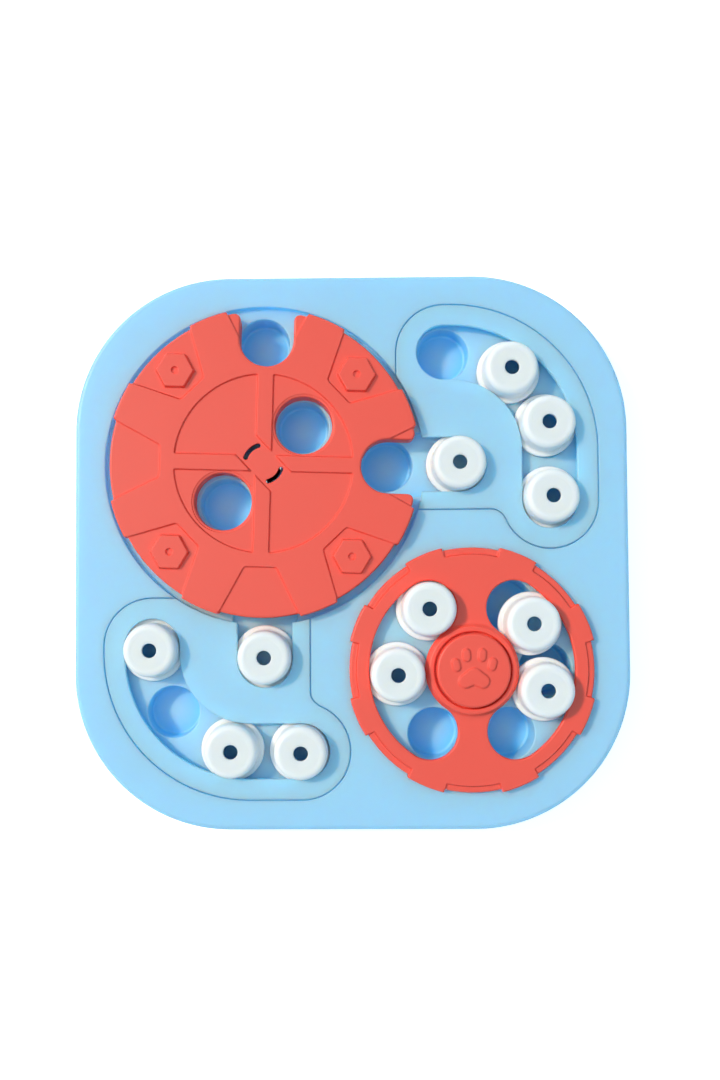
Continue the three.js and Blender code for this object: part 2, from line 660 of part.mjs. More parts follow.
function turntableDisc() {
  const [low, high] = [DISC_UNDER - OVERRUN, DISC_TOP + OVERRUN];
  const windowInner = HOOK_WINDOW_RADIUS - HOOK_WINDOW_WIDTH / 2;
  const windowOuter = windowInner + HOOK_WINDOW_WIDTH;
  const openings = joined([
    ...DISC_HOLE_ANGLES.map((angle) => (
      prism(circle(polar([0, 0], INNER_WELL_CIRCLE, angle), DISC_HOLE_RADIUS, WELL_FACETS), low, high)
    )),
    ...NOTCH_ANGLES.map((angle) => notchPrism(angle, 0, low, high)),
    ...HOOK_ANGLES.map((angle) => arcPrism(windowInner, windowOuter, angle, HOOK_SPAN, low, high)),
  ]);
  return joined([turntableTop().subtract(turntableHollow()).subtract(openings), ...turntableHooks()]);
}

const disc = addPiece("turntable_disc", turntableDisc(), plastic(CORAL_RED));
disc.position.set(...DISC_AT, 0);
disc.rotation.z = DISC_REST_TURN * DEG;

// Steering wheel: a rim and two spokes over a ring of wells. A ring under the rim turns in a step of
// the tray, and the hub turns on the tray's post.

function openingPrism(middle, low, high) {
  const half = WHEEL_OPENING_HALF_ANGLE;
  const facets = WHEEL_FACETS / 4;
  const outline = [
    ...arc([0, 0], WHEEL_WELL_CIRCLE + SLOT_HALF, -half, half, facets),
    ...arc(polar([0, 0], WHEEL_WELL_CIRCLE, half), SLOT_HALF, half, half + 180, WELL_FACETS / 2),
    ...arc([0, 0], WHEEL_WELL_CIRCLE - SLOT_HALF, half, -half, facets),
    ...arc(polar([0, 0], WHEEL_WELL_CIRCLE, -half), SLOT_HALF, 180 - half, 360 - half, WELL_FACETS / 2),
  ];
  return prism(outline, low, high).rotate([0, 0, middle]);
}

function wheelPanels() {
  const rimInner = WHEEL_RADIUS - WHEEL_PANEL_RIM_STEP;
  const high = WHEEL_TOP + OVERRUN;
  return Array.from({ length: WHEEL_PANELS }, (_, i) => (360 * i) / WHEEL_PANELS).flatMap((angle) => [
    arcPrism(WHEEL_PANEL_STEP_RADIUS, WHEEL_RADIUS + OVERRUN, angle, 2 * WHEEL_PANEL_HALF_ANGLE,
      WHEEL_TOP - WHEEL_PANEL_DEPTH, high),
    arcPrism(rimInner, WHEEL_RADIUS + OVERRUN, angle, 2 * WHEEL_PANEL_HALF_ANGLE, 0, high),
  ]);
}

function steeringWheel() {
  const high = WHEEL_TOP + HUB_PROUD + OVERRUN;
  const hubTop = WHEEL_TOP + HUB_PROUD;
  const rimLow = DECK_TOP + WHEEL_RIM_LIFT;
  const body = joined([
    prism(circle([0, 0], WHEEL_RADIUS, WHEEL_FACETS), rimLow, WHEEL_TOP),
    prism(circle([0, 0], WHEEL_RING_RADIUS, WHEEL_FACETS), WHEEL_UNDER, rimLow + SEAT_GAP),
    prism(circle([0, 0], HUB_RADIUS, HUB_FACETS), rimLow, hubTop),
  ]);
  const capWell = CAP_SKIRT_RADIUS + SEAT_GAP;
  return body.subtract(joined([
    openingPrism(0, 0, high),
    openingPrism(180, 0, high),
    ...wheelPanels(),
    tube([0, 0], WHEEL_WELL_CIRCLE - CHANNEL_HALF, WHEEL_WELL_CIRCLE + CHANNEL_HALF + WHEEL_RING_GAP, 0,
      WHEEL_TOP - WHEEL_SKIN, WHEEL_FACETS),
    prism(circle([0, 0], WHEEL_WELL_CIRCLE - CHANNEL_HALF + SEAT_GAP, HUB_FACETS), 0, rimLow),
    prism(circle([0, 0], HUB_BORE_RADIUS, HUB_FACETS), 0, high),
    prism(circle([0, 0], capWell, HUB_FACETS), POST_TOP, high),
    prism(circle([0, 0], CAP_RADIUS + SEAT_GAP, HUB_FACETS), hubTop - CAP_LEDGE_DEPTH, high),
  ]));
}

const wheel = addPiece("steering_wheel", steeringWheel(), plastic(CORAL_RED));
wheel.position.set(...WHEEL_AT, 0);

// Wheel washer, screw and cap

const washerLow = POST_TOP + SEAT_GAP;
const washerTop = washerLow + WASHER_THICKNESS;
const washerHole = WHEEL_SCREW_SHANK_RADIUS + SEAT_GAP;
const washer = tube([0, 0], washerHole, WASHER_RADIUS, washerLow, washerTop, HUB_FACETS / 2);
const steel = new THREE.MeshStandardMaterial({ color: STEEL, roughness: 0.35, metalness: 1 });
addPiece("wheel_washer", washer, steel).position.set(...WHEEL_AT, 0);

function screw(headRadius, headHeight, shankRadius, shankLength) {
  return turned([
    [0, -headHeight],
    [headRadius * SCREW_HEAD_END_SHARE, -headHeight],
    [headRadius, -headHeight * SCREW_HEAD_SIDE_SHARE],
    [headRadius, 0],
    [shankRadius, 0],
    [shankRadius, shankLength],
    [0, shankLength],
  ], SCREW_FACETS);
}

// The wheel's screw is turned over, with its head on top of the washer.
const wheelScrew = screw(
  WHEEL_SCREW_HEAD_RADIUS,
  WHEEL_SCREW_HEAD_HEIGHT,
  WHEEL_SCREW_SHANK_RADIUS,
  WHEEL_SCREW_LENGTH,
).rotate([180, 0, 0]).translate([0, 0, washerTop + SEAT_GAP]);
addPiece("wheel_screw", wheelScrew, steel).position.set(...WHEEL_AT, 0);

function wheelCap() {
  const hubTop = WHEEL_TOP + HUB_PROUD;
  const low = hubTop - CAP_LEDGE_DEPTH + SEAT_GAP;
  const top = hubTop + CAP_PROUD;
  const skirtLow = POST_TOP + SEAT_GAP;
  const skirtInner = CAP_SKIRT_RADIUS - CAP_SKIRT_WALL;
  const shell = turned([
    [0, top],
    [CAP_RADIUS - CAP_ROUND, top],
    [CAP_RADIUS, top - CAP_ROUND],
    [CAP_RADIUS, low],
    [CAP_SKIRT_RADIUS, low],
    [CAP_SKIRT_RADIUS, skirtLow],
    [skirtInner, skirtLow],
    [skirtInner, top - CAP_TOP_SKIN],
    [0, top - CAP_TOP_SKIN],
  ], HUB_FACETS);
  const relief = [top - CAP_TOP_SKIN / 2, top + PAW_RELIEF];
  const toes = PAW_TOE_ANGLES.map((angle) => {
    const at = polar([0, -PAW_TOE_RADIUS], PAW_TOE_CIRCLE, angle);
    return prism(circle(at, PAW_TOE_RADIUS, SCREW_FACETS), ...relief);
  });
  const padOutline = circle([0, 0], PAW_PAD_RADIUS, HUB_FACETS / 2, 90)
    .map(([x, y]) => [x, y - PAW_TOE_RADIUS - (PAW_PAD_RADIUS - y) * PAW_PAD_FLARE_SHARE]);
  return joined([shell, prism(padOutline, ...relief), ...toes]);
}

addPiece("wheel_cap", wheelCap(), plastic(CORAL_RED)).position.set(...WHEEL_AT, 0);

// Pegs

// A peg stands on the floor of a track or slot, or on the higher floor of the ring under the wheel.

function peg(floor) {
  const low = floor + SEAT_GAP;
  const top = floor + CHANNEL_DEPTH + KNOB_PROUD;
  const flangeTop = low + FLANGE_THICKNESS;
  const inner = KNOB_RADIUS - PEG_WALL;
  const profile = [
    [PEG_HOLE_RADIUS, top],
    [KNOB_RADIUS - KNOB_ROUND, top],
    [KNOB_RADIUS - KNOB_ROUND * (1 - Math.SQRT1_2), top - KNOB_ROUND * (1 - Math.SQRT1_2)],
    [KNOB_RADIUS, top - KNOB_ROUND],
    [KNOB_RADIUS, flangeTop],
    [FLANGE_RADIUS, flangeTop],
    [FLANGE_RADIUS, low],
    [inner, low],
    [inner, top - PEG_WALL],
    [PEG_HOLE_RADIUS, top - PEG_WALL],
  ];
  return turned([...profile, profile[0]], PEG_FACETS);
}

// Where each peg stands at rest: how far back from the far end of its track or slot, or along from the
// start of the track, and for the wheel's pegs the angle about its axis.
const RIGHT_PEG_BACKS = [77.88, 41.7, 1.7];
const LEFT_FIRST_PEG_ALONG = 1.94;
const LEFT_PEG_BACKS = [38.16, 0.6];
const STRAIGHT_PEG_BACK = 0.4;
const LEFT_STRAIGHT_PEG_BACK = 1.6;
const WHEEL_PEG_ANGLES = [125.4, 183.2, 37.8, 344.5];

const leftStraightEnd = otherSide(STRAIGHT_END);
const trackPegPlaces = {
  right_track_peg_1: alongTrack(trackLength - RIGHT_PEG_BACKS[0]),
  right_track_peg_2: alongTrack(trackLength - RIGHT_PEG_BACKS[1]),
  right_track_peg_3: alongTrack(trackLength - RIGHT_PEG_BACKS[2]),
  right_lock_peg: [STRAIGHT_END[0] - STRAIGHT_PEG_BACK, STRAIGHT_END[1]],
  left_track_peg_1: otherSide(alongTrack(LEFT_FIRST_PEG_ALONG)),
  left_track_peg_2: otherSide(alongTrack(trackLength - LEFT_PEG_BACKS[0])),
  left_track_peg_3: otherSide(alongTrack(trackLength - LEFT_PEG_BACKS[1])),
  left_lock_peg: [leftStraightEnd[0], leftStraightEnd[1] + LEFT_STRAIGHT_PEG_BACK],
};
const wheelPegPlaces = {
  wheel_peg_1: polar(WHEEL_AT, WHEEL_WELL_CIRCLE, WHEEL_PEG_ANGLES[0]),
  wheel_peg_2: polar(WHEEL_AT, WHEEL_WELL_CIRCLE, WHEEL_PEG_ANGLES[1]),
  wheel_peg_3: polar(WHEEL_AT, WHEEL_WELL_CIRCLE, WHEEL_PEG_ANGLES[2]),
  wheel_peg_4: polar(WHEEL_AT, WHEEL_WELL_CIRCLE, WHEEL_PEG_ANGLES[3]),
};
const pegFloors = [[trackPegPlaces, CHANNEL_FLOOR], [wheelPegPlaces, WHEEL_CHANNEL_FLOOR]];
for (const [places, floor] of pegFloors) {
  for (const [name, at] of Object.entries(places)) {
    addPiece(name, peg(floor), plastic(WHITE)).position.set(...at, 0);
  }
}

// Screws under the covers, and the feet

const coverScrew = screw(
  COVER_SCREW_HEAD_RADIUS,
  COVER_SCREW_HEAD_HEIGHT,
  COVER_SCREW_SHANK_RADIUS,
  COVER_SCREW_LENGTH,
).translate([0, 0, tubeBottom - SEAT_GAP]);
rightScrews.forEach((at, i) => {
  addPiece(`right_cover_screw_${i + 1}`, coverScrew, steel).position.set(...at, 0);
});
leftScrews.forEach((at, i) => {
  addPiece(`left_cover_screw_${i + 1}`, coverScrew, steel).position.set(...at, 0);
});

const rubber = new THREE.MeshStandardMaterial({ color: GREY_RUBBER, roughness: 0.8, metalness: 0 });
const foot = turned([
  [0, 0],
  [FOOT_RADIUS - FOOT_EDGE_CHAMFER, 0],
  [FOOT_RADIUS, FOOT_EDGE_CHAMFER],
  [FOOT_RADIUS, FOOT_THICKNESS],
  [0, FOOT_THICKNESS],
], WELL_FACETS);
["back_right", "back_left", "front_left", "front_right"].forEach((corner, i) => {
  addPiece(`${corner}_foot`, foot, rubber).position.set(...footPlaces[i], 0);
});

export default group;
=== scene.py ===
import math

import bpy
import numpy as np
from mathutils import Matrix, Vector
from mathutils.geometry import delaunay_2d_cdt


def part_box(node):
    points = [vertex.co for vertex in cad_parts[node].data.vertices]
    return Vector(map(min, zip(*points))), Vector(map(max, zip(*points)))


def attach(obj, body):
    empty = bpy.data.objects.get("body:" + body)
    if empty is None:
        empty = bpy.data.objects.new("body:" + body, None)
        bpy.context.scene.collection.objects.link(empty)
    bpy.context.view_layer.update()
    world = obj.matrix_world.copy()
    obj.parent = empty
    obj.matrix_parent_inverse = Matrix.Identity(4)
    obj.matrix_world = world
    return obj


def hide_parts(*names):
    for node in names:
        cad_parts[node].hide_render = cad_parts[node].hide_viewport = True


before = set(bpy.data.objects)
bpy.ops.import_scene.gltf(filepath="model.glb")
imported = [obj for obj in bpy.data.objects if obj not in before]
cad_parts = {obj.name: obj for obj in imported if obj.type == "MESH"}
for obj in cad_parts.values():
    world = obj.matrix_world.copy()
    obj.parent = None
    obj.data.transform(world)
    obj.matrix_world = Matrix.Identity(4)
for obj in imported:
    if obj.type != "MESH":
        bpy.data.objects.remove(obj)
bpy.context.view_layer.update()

# Studio
# The toy lies on a white sweep and is looked down on from half a metre above its middle. One lamp
# stands at its left and a little behind it, a soft box hangs higher up on that side, and the pale
# room fills the rest.

camera = bpy.data.cameras.new("camera")
camera.sensor_fit = "VERTICAL"
camera.sensor_height = 36.0
camera.lens = 30.64
camera.shift_x = 0.037
camera.shift_y = 0.0324
camera.clip_start = 0.01
camera_stand = bpy.data.objects.new("camera", camera)
bpy.context.scene.collection.objects.link(camera_stand)
camera_stand.matrix_world = Matrix((
    (0.9998834, 0.0056833, 0.0141751, -0.0098),
    (-0.0052447, 0.9995123, -0.0307845, -0.0285),
    (-0.0143431, 0.0307066, 0.9994255, 0.522),
    (0, 0, 0, 1),
))
bpy.context.scene.camera = camera_stand
bpy.context.scene.view_settings.view_transform = "Standard"


def pointing(x, y, z):
    """Rotation that turns a lamp's -Z axis from a place in that direction back to the origin."""
    return Vector((x, y, z)).to_track_quat("Z", "Y").to_matrix().to_4x4()


key = bpy.data.lights.new("key", "SUN")
key.energy = 2.45
key.color = (1.0, 0.88, 0.76)
key.angle = math.radians(6)
key_lamp = bpy.data.objects.new("key", key)
bpy.context.scene.collection.objects.link(key_lamp)
key_lamp.matrix_world = pointing(-0.669, 0.266, 0.695)

soft_box = bpy.data.lights.new("soft_box", "AREA")
soft_box.shape = "DISK"
soft_box.size = 0.7
soft_box.energy = 1.4
soft_box_lamp = bpy.data.objects.new("soft_box", soft_box)
bpy.context.scene.collection.objects.link(soft_box_lamp)
soft_box_lamp.matrix_world = Matrix.Translation((-0.45, 0.06, 1.2)) @ pointing(-0.35, 0.06, 1.2)


def seen_directly(nodes, links):
    """1 for a ray from the camera, or one by way of a mirror or glass, and 0 for one that gives light."""
    path = nodes.new("ShaderNodeLightPath")
    seen = path.outputs["Is Camera Ray"]
    for ray in ("Is Glossy Ray", "Is Transmission Ray"):
        larger = nodes.new("ShaderNodeMath")
        larger.operation = "MAXIMUM"
        links.new(seen, larger.inputs[0])
        links.new(path.outputs[ray], larger.inputs[1])
        seen = larger.outputs[0]
    return seen


world = bpy.data.worlds.new("room")
world.use_nodes = True
bpy.context.scene.world = world
nodes, links = world.node_tree.nodes, world.node_tree.links
background = nodes["Background"]
walls = nodes.new("ShaderNodeMix")
walls.data_type = "RGBA"
walls.inputs["A"].default_value = (0.28, 0.48, 0.62, 1)
walls.inputs["B"].default_value = (1, 1, 1, 1)
links.new(seen_directly(nodes, links), walls.inputs["Factor"])
links.new(walls.outputs["Result"], background.inputs["Color"])

# The sweep is matt white paper. To the camera it also glows, which keeps it white round a soft shadow.
floor_mesh = bpy.data.meshes.new("floor")
floor_mesh.from_pydata([(-3, -3, 0), (3, -3, 0), (3, 3, 0), (-3, 3, 0)], [], [(0, 1, 2, 3)])
floor = bpy.data.objects.new("floor", floor_mesh)
bpy.context.scene.collection.objects.link(floor)
paper = bpy.data.materials.new("white_sweep")
paper.use_nodes = True
nodes, links = paper.node_tree.nodes, paper.node_tree.links
nodes.clear()
matt = nodes.new("ShaderNodeBsdfDiffuse")
matt.inputs["Color"].default_value = (0.86, 0.86, 0.86, 1)
glow = nodes.new("ShaderNodeEmission")
level = nodes.new("ShaderNodeMath")
level.operation = "MULTIPLY"
level.inputs[1].default_value = 0.72
links.new(seen_directly(nodes, links), level.inputs[0])
links.new(level.outputs[0], glow.inputs["Strength"])
both = nodes.new("ShaderNodeAddShader")
output = nodes.new("ShaderNodeOutputMaterial")
links.new(matt.outputs[0], both.inputs[0])
links.new(glow.outputs[0], both.inputs[1])
links.new(both.outputs[0], output.inputs["Surface"])
paper.cycles.emission_sampling = "NONE"
floor_mesh.materials.append(paper)

# Base tray
# One thin moulding in sky-blue plastic, open below: a skirt round a deck, with pans pressed down for
# the turntable, the wheel and the two tracks, and a cup under each of its 22 food wells. It is
# injection moulded, so every wall has a little draft and every edge a small radius.

# Sizes are in millimetres. TURN is one degree in radians.
PER_METRE = 1000
TURN = math.pi / 180
DISC_AT = (-47.1, 47.1)
WHEEL_AT = (64.6, -64.6)
TRAY_HALF = 151.2
TRAY_CORNER = 84.8
SKIN = 2.4
DECK_TOP = 22.0
COVER_FLOOR = 19.3
COVER_SEAM = 0.5
DISC_FLOOR = 18.8
DISC_PAN_RADIUS = 87.4
CHANNEL_FLOOR = 15.8
CHANNEL_HALF = 17.7
WHEEL_FLOOR = 20.8
WHEEL_TRENCH_FLOOR = 19.1
WELL_FLOOR = 5.0
WELL_RADIUS = 14.2
CUP_WALL = 2.0
INNER_WELL_CIRCLE = 29.9
OUTER_WELL_CIRCLE = 67.3
WHEEL_WELL_CIRCLE = 40.2
POST_RADIUS = 5.0
POST_TOP = 26.0
PIVOT_RADIUS = 9.1
PILOT_RADIUS = 1.7
SCREW_HOLE_RADIUS = 1.3
SCREW_SEAT = 10.4
SCREW_SEAT_BELOW = 8.6
FOOT_CIRCLE = 166.504


def polar(centre, radius, angle):
    return centre[0] + radius * math.cos(angle * TURN), centre[1] + radius * math.sin(angle * TURN)


def round_hole(centre, radius):
    """Distance outside a circle, negative inside it."""
    return lambda x, y: np.hypot(x - centre[0], y - centre[1]) - radius


def round_holes(centres, radius):
    """Distance outside the nearest of several equal circles."""
    places = np.array(centres)

    def field(x, y):
        gap = np.full(np.shape(x), 1e9)
        for cx, cy in places:
            gap = np.minimum(gap, np.hypot(x - cx, y - cy))
        return gap - radius
    return field


def ring(centre, inner, outer):
    """Distance outside the ring between two circles."""
    def field(x, y):
        r = np.hypot(x - centre[0], y - centre[1])
        return np.maximum(r - outer, inner - r)
    return field


def grown(field, margin):
    return lambda x, y: field(x, y) - margin


def outside(field):
    return lambda x, y: -field(x, y)


def either(*fields):
    return lambda x, y: np.minimum.reduce([f(x, y) for f in fields])


def both_of(*fields):
    return lambda x, y: np.maximum.reduce([f(x, y) for f in fields])


def other_side(field):
    """The same outline on the other side of the line through the turntable's and the wheel's axes."""
    return lambda x, y: field(-y, -x)


def rounded_square(half, radius):
    """Distance outside a square whose corners are arcs: the length of what reaches past the arcs'
    centres, less the radius."""
    def field(x, y):
        px, py = abs(x) - (half - radius), abs(y) - (half - radius)
        return np.hypot(np.maximum(px, 0), np.maximum(py, 0)) + np.minimum(np.maximum(px, py), 0) - radius
    return field


def segment(x, y, a, b):
    """Distance from the line between two places."""
    dx, dy = b[0] - a[0], b[1] - a[1]
    share = np.clip(((x - a[0]) * dx + (y - a[1]) * dy) / (dx * dx + dy * dy), 0, 1)
    return np.hypot(x - a[0] - share * dx, y - a[1] - share * dy)


BEND_AT = (55.3, 55.3)
BEND_RADIUS = 53.3
SHORT_RUN = 3.8
LONG_RUN = 28.3
TRACK_START = (51.5, 108.6)
TRACK_END = (108.6, 27.0)
LOCK_ENDS = (20.2, 59.2)


def track_line(x, y):
    """Distance from the right-hand track's centreline: a short run, a quarter bend and a long run."""
    bend = abs(np.hypot(x - BEND_AT[0], y - BEND_AT[1]) - BEND_RADIUS)
    runs = np.minimum(segment(x, y, TRACK_START, (BEND_AT[0], TRACK_START[1])),
                      segment(x, y, (TRACK_END[0], BEND_AT[1]), TRACK_END))
    return np.where((x > BEND_AT[0]) & (y > BEND_AT[1]), bend, runs)


def lock_line(x, y):
    """Distance from the centreline of the straight slot that leads to the turntable's notch."""
    return segment(x, y, (LOCK_ENDS[0], DISC_AT[1]), (LOCK_ENDS[1], DISC_AT[1]))


COVER_BAND = 26.0
COVER_FILLET = 6.0
COVER_CORNER = (25.5, 22.6)
FILLET_BELOW = 60.0


def cover_outline(x, y):
    """Distance outside a track cover: a band round the track's centreline, and the field that the bend
    encloses, with a fillet where its front edge meets the band."""
    band = track_line(x, y) - COVER_BAND
    px = np.maximum(COVER_CORNER[0] - x, x - TRACK_END[0])
    py = np.maximum(COVER_CORNER[1] - y, y - TRACK_START[1])
    plate = np.hypot(np.maximum(px, 0), np.maximum(py, 0)) + np.minimum(np.maximum(px, py), 0)
    soft = np.maximum(np.minimum(band, plate), COVER_FILLET) - np.hypot(
        np.maximum(COVER_FILLET - band, 0), np.maximum(COVER_FILLET - plate, 0))
    return np.where(y < FILLET_BELOW, soft, np.minimum(band, plate))


def along_track(distance):
    """Place on the right-hand track's centreline, a given way from its start."""
    bend = BEND_RADIUS * math.pi / 2
    if distance < SHORT_RUN:
        return TRACK_START[0] + distance, TRACK_START[1]
    if distance < SHORT_RUN + bend:
        return polar(BEND_AT, BEND_RADIUS, 90 - (distance - SHORT_RUN) / BEND_RADIUS / TURN)
    return TRACK_END[0], BEND_AT[1] - (distance - SHORT_RUN - bend)


TRACK_LENGTH = SHORT_RUN + BEND_RADIUS * math.pi / 2 + LONG_RUN
track_wells = [along_track(TRACK_LENGTH * i / 3) for i in range(4)]
wells = [polar(DISC_AT, INNER_WELL_CIRCLE, a) for a in (45, 135, 225, 315)]
wells += [polar(DISC_AT, OUTER_WELL_CIRCLE, a) for a in (0, 90, 180, 270)]
wells += track_wells + [(-y, -x) for x, y in track_wells]
wells += [polar(WHEEL_AT, WHEEL_WELL_CIRCLE, 60 * i) for i in range(6)]
SCREW_REACH = 21.9
INNER_SCREW_AT = (55.3, 75.2)
cover_screws = [polar(TRACK_START, SCREW_REACH, 135), polar(BEND_AT, BEND_RADIUS + SCREW_REACH, 45),
                polar(TRACK_END, SCREW_REACH, 270), INNER_SCREW_AT]
cover_screws += [(-y, -x) for x, y in cover_screws]
feet = [polar((0, 0), FOOT_CIRCLE, a) for a in (45, 135, 225, 315)]


def step(z, gap, level, outer, inner, run):
    """Height that changes from z, where gap is positive, to level, where it is negative. It leaves z on a
    quarter ellipse from gap = outer to 0, follows a straight wall with a draft to gap = -run, and meets
    level on a quarter ellipse as wide as inner. Neither ellipse is taller than half the change."""
    rise = level - z
    way = np.sign(rise)
    crest = np.minimum(outer, abs(rise) / 2)
    foot = np.minimum(inner, abs(rise) / 2)
    u = np.clip(gap / outer, 0, 1)
    v = np.clip((-gap - run) / inner, 0, 1)
    leaving = z + way * crest * (1 - np.sqrt(1 - (1 - u) ** 2))
    meeting = level - way * foot * (1 - np.sqrt(1 - (1 - v) ** 2))
    wall = leaving + (meeting - leaving) * np.clip(-gap / run, 0, 1)
    return np.where(gap > 0, leaving, np.where(gap > -run, wall, meeting))


def face_of(base, reliefs, borders, way):
    """Height function of one face of a moulding: a level, then each relief as a step to a level of its
    own, then the rounding at each border, which turns down for the upper face (way 1) and up for the
    lower one (way -1). Past its border a face goes on 30 times as far down or up as out."""
    beyond = 30
    def height(x, y):
        z = np.full(np.shape(x), float(base))
        for field, level, outer, inner, run, *_ in reliefs:
            z = step(z, field(x, y), level, outer, inner, run)
        for field, radius, *_ in borders:
            gap = field(x, y)
            u = np.clip(-gap / radius, 0, 1)
            z = z - way * (radius * (1 - np.sqrt(1 - (1 - u) ** 2)) + beyond * np.maximum(gap, 0))
        return z
    return height


def contour(field, levels, spacing, window):
    """Points on lines of equal distance and the links between them. The field is worked out on a square
    grid. Each grid cell that a line crosses gets one point at the mean of its crossings, cells that
    share a crossed side are linked, and four Newton steps along the gradient bring each point onto its
    line."""
    xs = np.arange(window[0], window[1] + spacing, spacing)
    ys = np.arange(window[2], window[3] + spacing, spacing)
    gx, gy = np.meshgrid(xs, ys, indexing="ij")
    ground = field(gx, gy)
    points, joins, count = [], [], 0
    for level in levels:
        v = ground - level
        low = v < 0
        total = np.zeros((len(xs) - 1, len(ys) - 1, 3))
        across = low[1:] != low[:-1]
        share = v[:-1] / (v[:-1] - v[1:] + 1e-12)
        at = np.stack([gx[:-1] + share * spacing, gy[:-1], np.ones_like(share)], -1) * across[..., None]
        total += at[:, :-1] + at[:, 1:]
        along = low[:, 1:] != low[:, :-1]
        share = v[:, :-1] / (v[:, :-1] - v[:, 1:] + 1e-12)
        at = np.stack([gx[:, :-1], gy[:, :-1] + share * spacing, np.ones_like(share)], -1) * along[..., None]
        total += at[:-1] + at[1:]
        crossed = total[..., 2] > 0
        number = np.cumsum(crossed).reshape(crossed.shape) - 1 + count
        p = total[crossed][:, :2] / total[crossed][:, 2:]
        i, j = np.nonzero(across[:, 1:-1])
        joins.append(np.column_stack([number[i, j], number[i, j + 1]]))
        i, j = np.nonzero(along[1:-1])
        joins.append(np.column_stack([number[i, j], number[i + 1, j]]))
        for _ in range(4):
            off = field(p[:, 0], p[:, 1]) - level
            slope = gradient(field, p)
            p = p - slope * (off / np.maximum((slope ** 2).sum(1), 1e-6))[:, None]
        points.append(p)
        count += len(p)
    return np.vstack(points), np.vstack(joins)


def gradient(field, p, reach=0.005):
    """Slope of a field along X and Y, by central differences."""
    x, y = p[:, 0], p[:, 1]
    return np.column_stack([field(x + reach, y) - field(x - reach, y),
                            field(x, y + reach) - field(x, y - reach)]) / (2 * reach)


def triangles_over(domain, lines):
    """Triangles over the part of the plane where the domain's field is negative, with every line kept.
    Points closer than a ten-thousandth of a millimetre become one."""
    nearest = 1e-4
    points = np.vstack([p for p, _ in lines])
    offsets = np.cumsum([0] + [len(p) for p, _ in lines])
    joins = np.vstack([j + o for (_, j), o in zip(lines, offsets)])
    made = delaunay_2d_cdt([Vector(p) for p in points], joins.tolist(), [], 0, nearest)
    p = np.array([tuple(v) for v in made[0]])
    t = np.array(made[2])
    middle = p[t].mean(1)
    t = t[domain(middle[:, 0], middle[:, 1]) < 0]
    edge_a, edge_b = p[t[:, 1]] - p[t[:, 0]], p[t[:, 2]] - p[t[:, 0]]
    turned = edge_a[:, 0] * edge_b[:, 1] - edge_a[:, 1] * edge_b[:, 0] < 0
    t[turned] = t[turned][:, ::-1]
    used, t = np.unique(t, return_inverse=True)
    return p[used], t.reshape(-1, 3)


def rim_of(t):
    """Directed sides that belong to one triangle only."""
    sides = np.vstack([t[:, [0, 1]], t[:, [1, 2]], t[:, [2, 0]]])
    size = t.max() + 1
    code = sides[:, 0] * size + sides[:, 1]
    back = sides[:, 1] * size + sides[:, 0]
    return sides[~np.isin(code, back)]


def upright(height, p, way):
    """Unit normals of a height function's graph, up for way 1 and down for way -1."""
    slope = gradient(height, p)
    n = np.column_stack([-slope * way, np.full(len(p), float(way))])
    return n / np.linalg.norm(n, axis=1)[:, None]


def moulding(domain, upper, lower, upper_lines, lower_lines=None):
    """A closed shell between two height functions over one domain, with a wall round its border. Both
    faces stand on the same triangles, or each on its own where the lines of one aren't the other's.
    Gives corners, triangles and a normal for each triangle's corner."""
    p, t = triangles_over(domain, upper_lines)
    q, s = (p, t) if lower_lines is None else triangles_over(domain, lower_lines)
    rim = rim_of(t)
    outward = gradient(domain, p)
    outward = outward / np.maximum(np.linalg.norm(outward, axis=1), 1e-9)[:, None]
    outward = np.column_stack([outward, 0 * p[:, 0]])
    below = np.arange(len(p))
    if lower_lines is not None:
        parts_per_mm = 200
        place = {tuple(k): i for i, k in enumerate(np.round(q * parts_per_mm).astype(int).tolist())}
        for i in np.unique(rim):
            below[i] = place[tuple(np.round(p[i] * parts_per_mm).astype(int).tolist())]
    a, b = rim[:, 0], rim[:, 1]
    c, d = below[a] + len(p), below[b] + len(p)
    walls = np.vstack([np.column_stack([b, a, c]), np.column_stack([b, c, d])])
    normal_up, normal_down = upright(upper, p, 1), upright(lower, q, -1)
    wall_normals = np.vstack([np.stack([outward[b], outward[a], outward[a]], 1),
                              np.stack([outward[b], outward[a], outward[b]], 1)])
    corners = np.vstack([np.column_stack([p, upper(p[:, 0], p[:, 1])]),
                         np.column_stack([q, lower(q[:, 0], q[:, 1])])])
    faces = np.vstack([t, s[:, ::-1] + len(p), walls])
    normals = np.vstack([normal_up[t], normal_down[s[:, ::-1]], wall_normals])
    return corners, faces, normals


def moved(shape, turn=0.0, to=(0, 0, 0)):
    """A shape turned by some degrees about Z and set down at a place."""
    corners, faces, normals = shape
    c, s = math.cos(turn * TURN), math.sin(turn * TURN)
    rotation = np.array([[c, s, 0], [-s, c, 0], [0, 0, 1]])
    return corners @ rotation + np.array(to), faces, normals @ rotation


def mirrored(shape):
    """The same shape on the other side of the line through the turntable's and the wheel's axes."""
    corners, faces, normals = shape
    flip = np.array([[0, -1, 0], [-1, 0, 0], [0, 0, 1]])
    return corners @ flip, faces[:, ::-1], (normals @ flip)[:, ::-1]


def together(*shapes):
    """Several closed shells as the shells of one shape."""
    starts = np.cumsum([0] + [len(c) for c, _, _ in shapes])
    return (np.vstack([c for c, _, _ in shapes]),
            np.vstack([f + n for (_, f, _), n in zip(shapes, starts)]),
            np.vstack([n for _, _, n in shapes]))


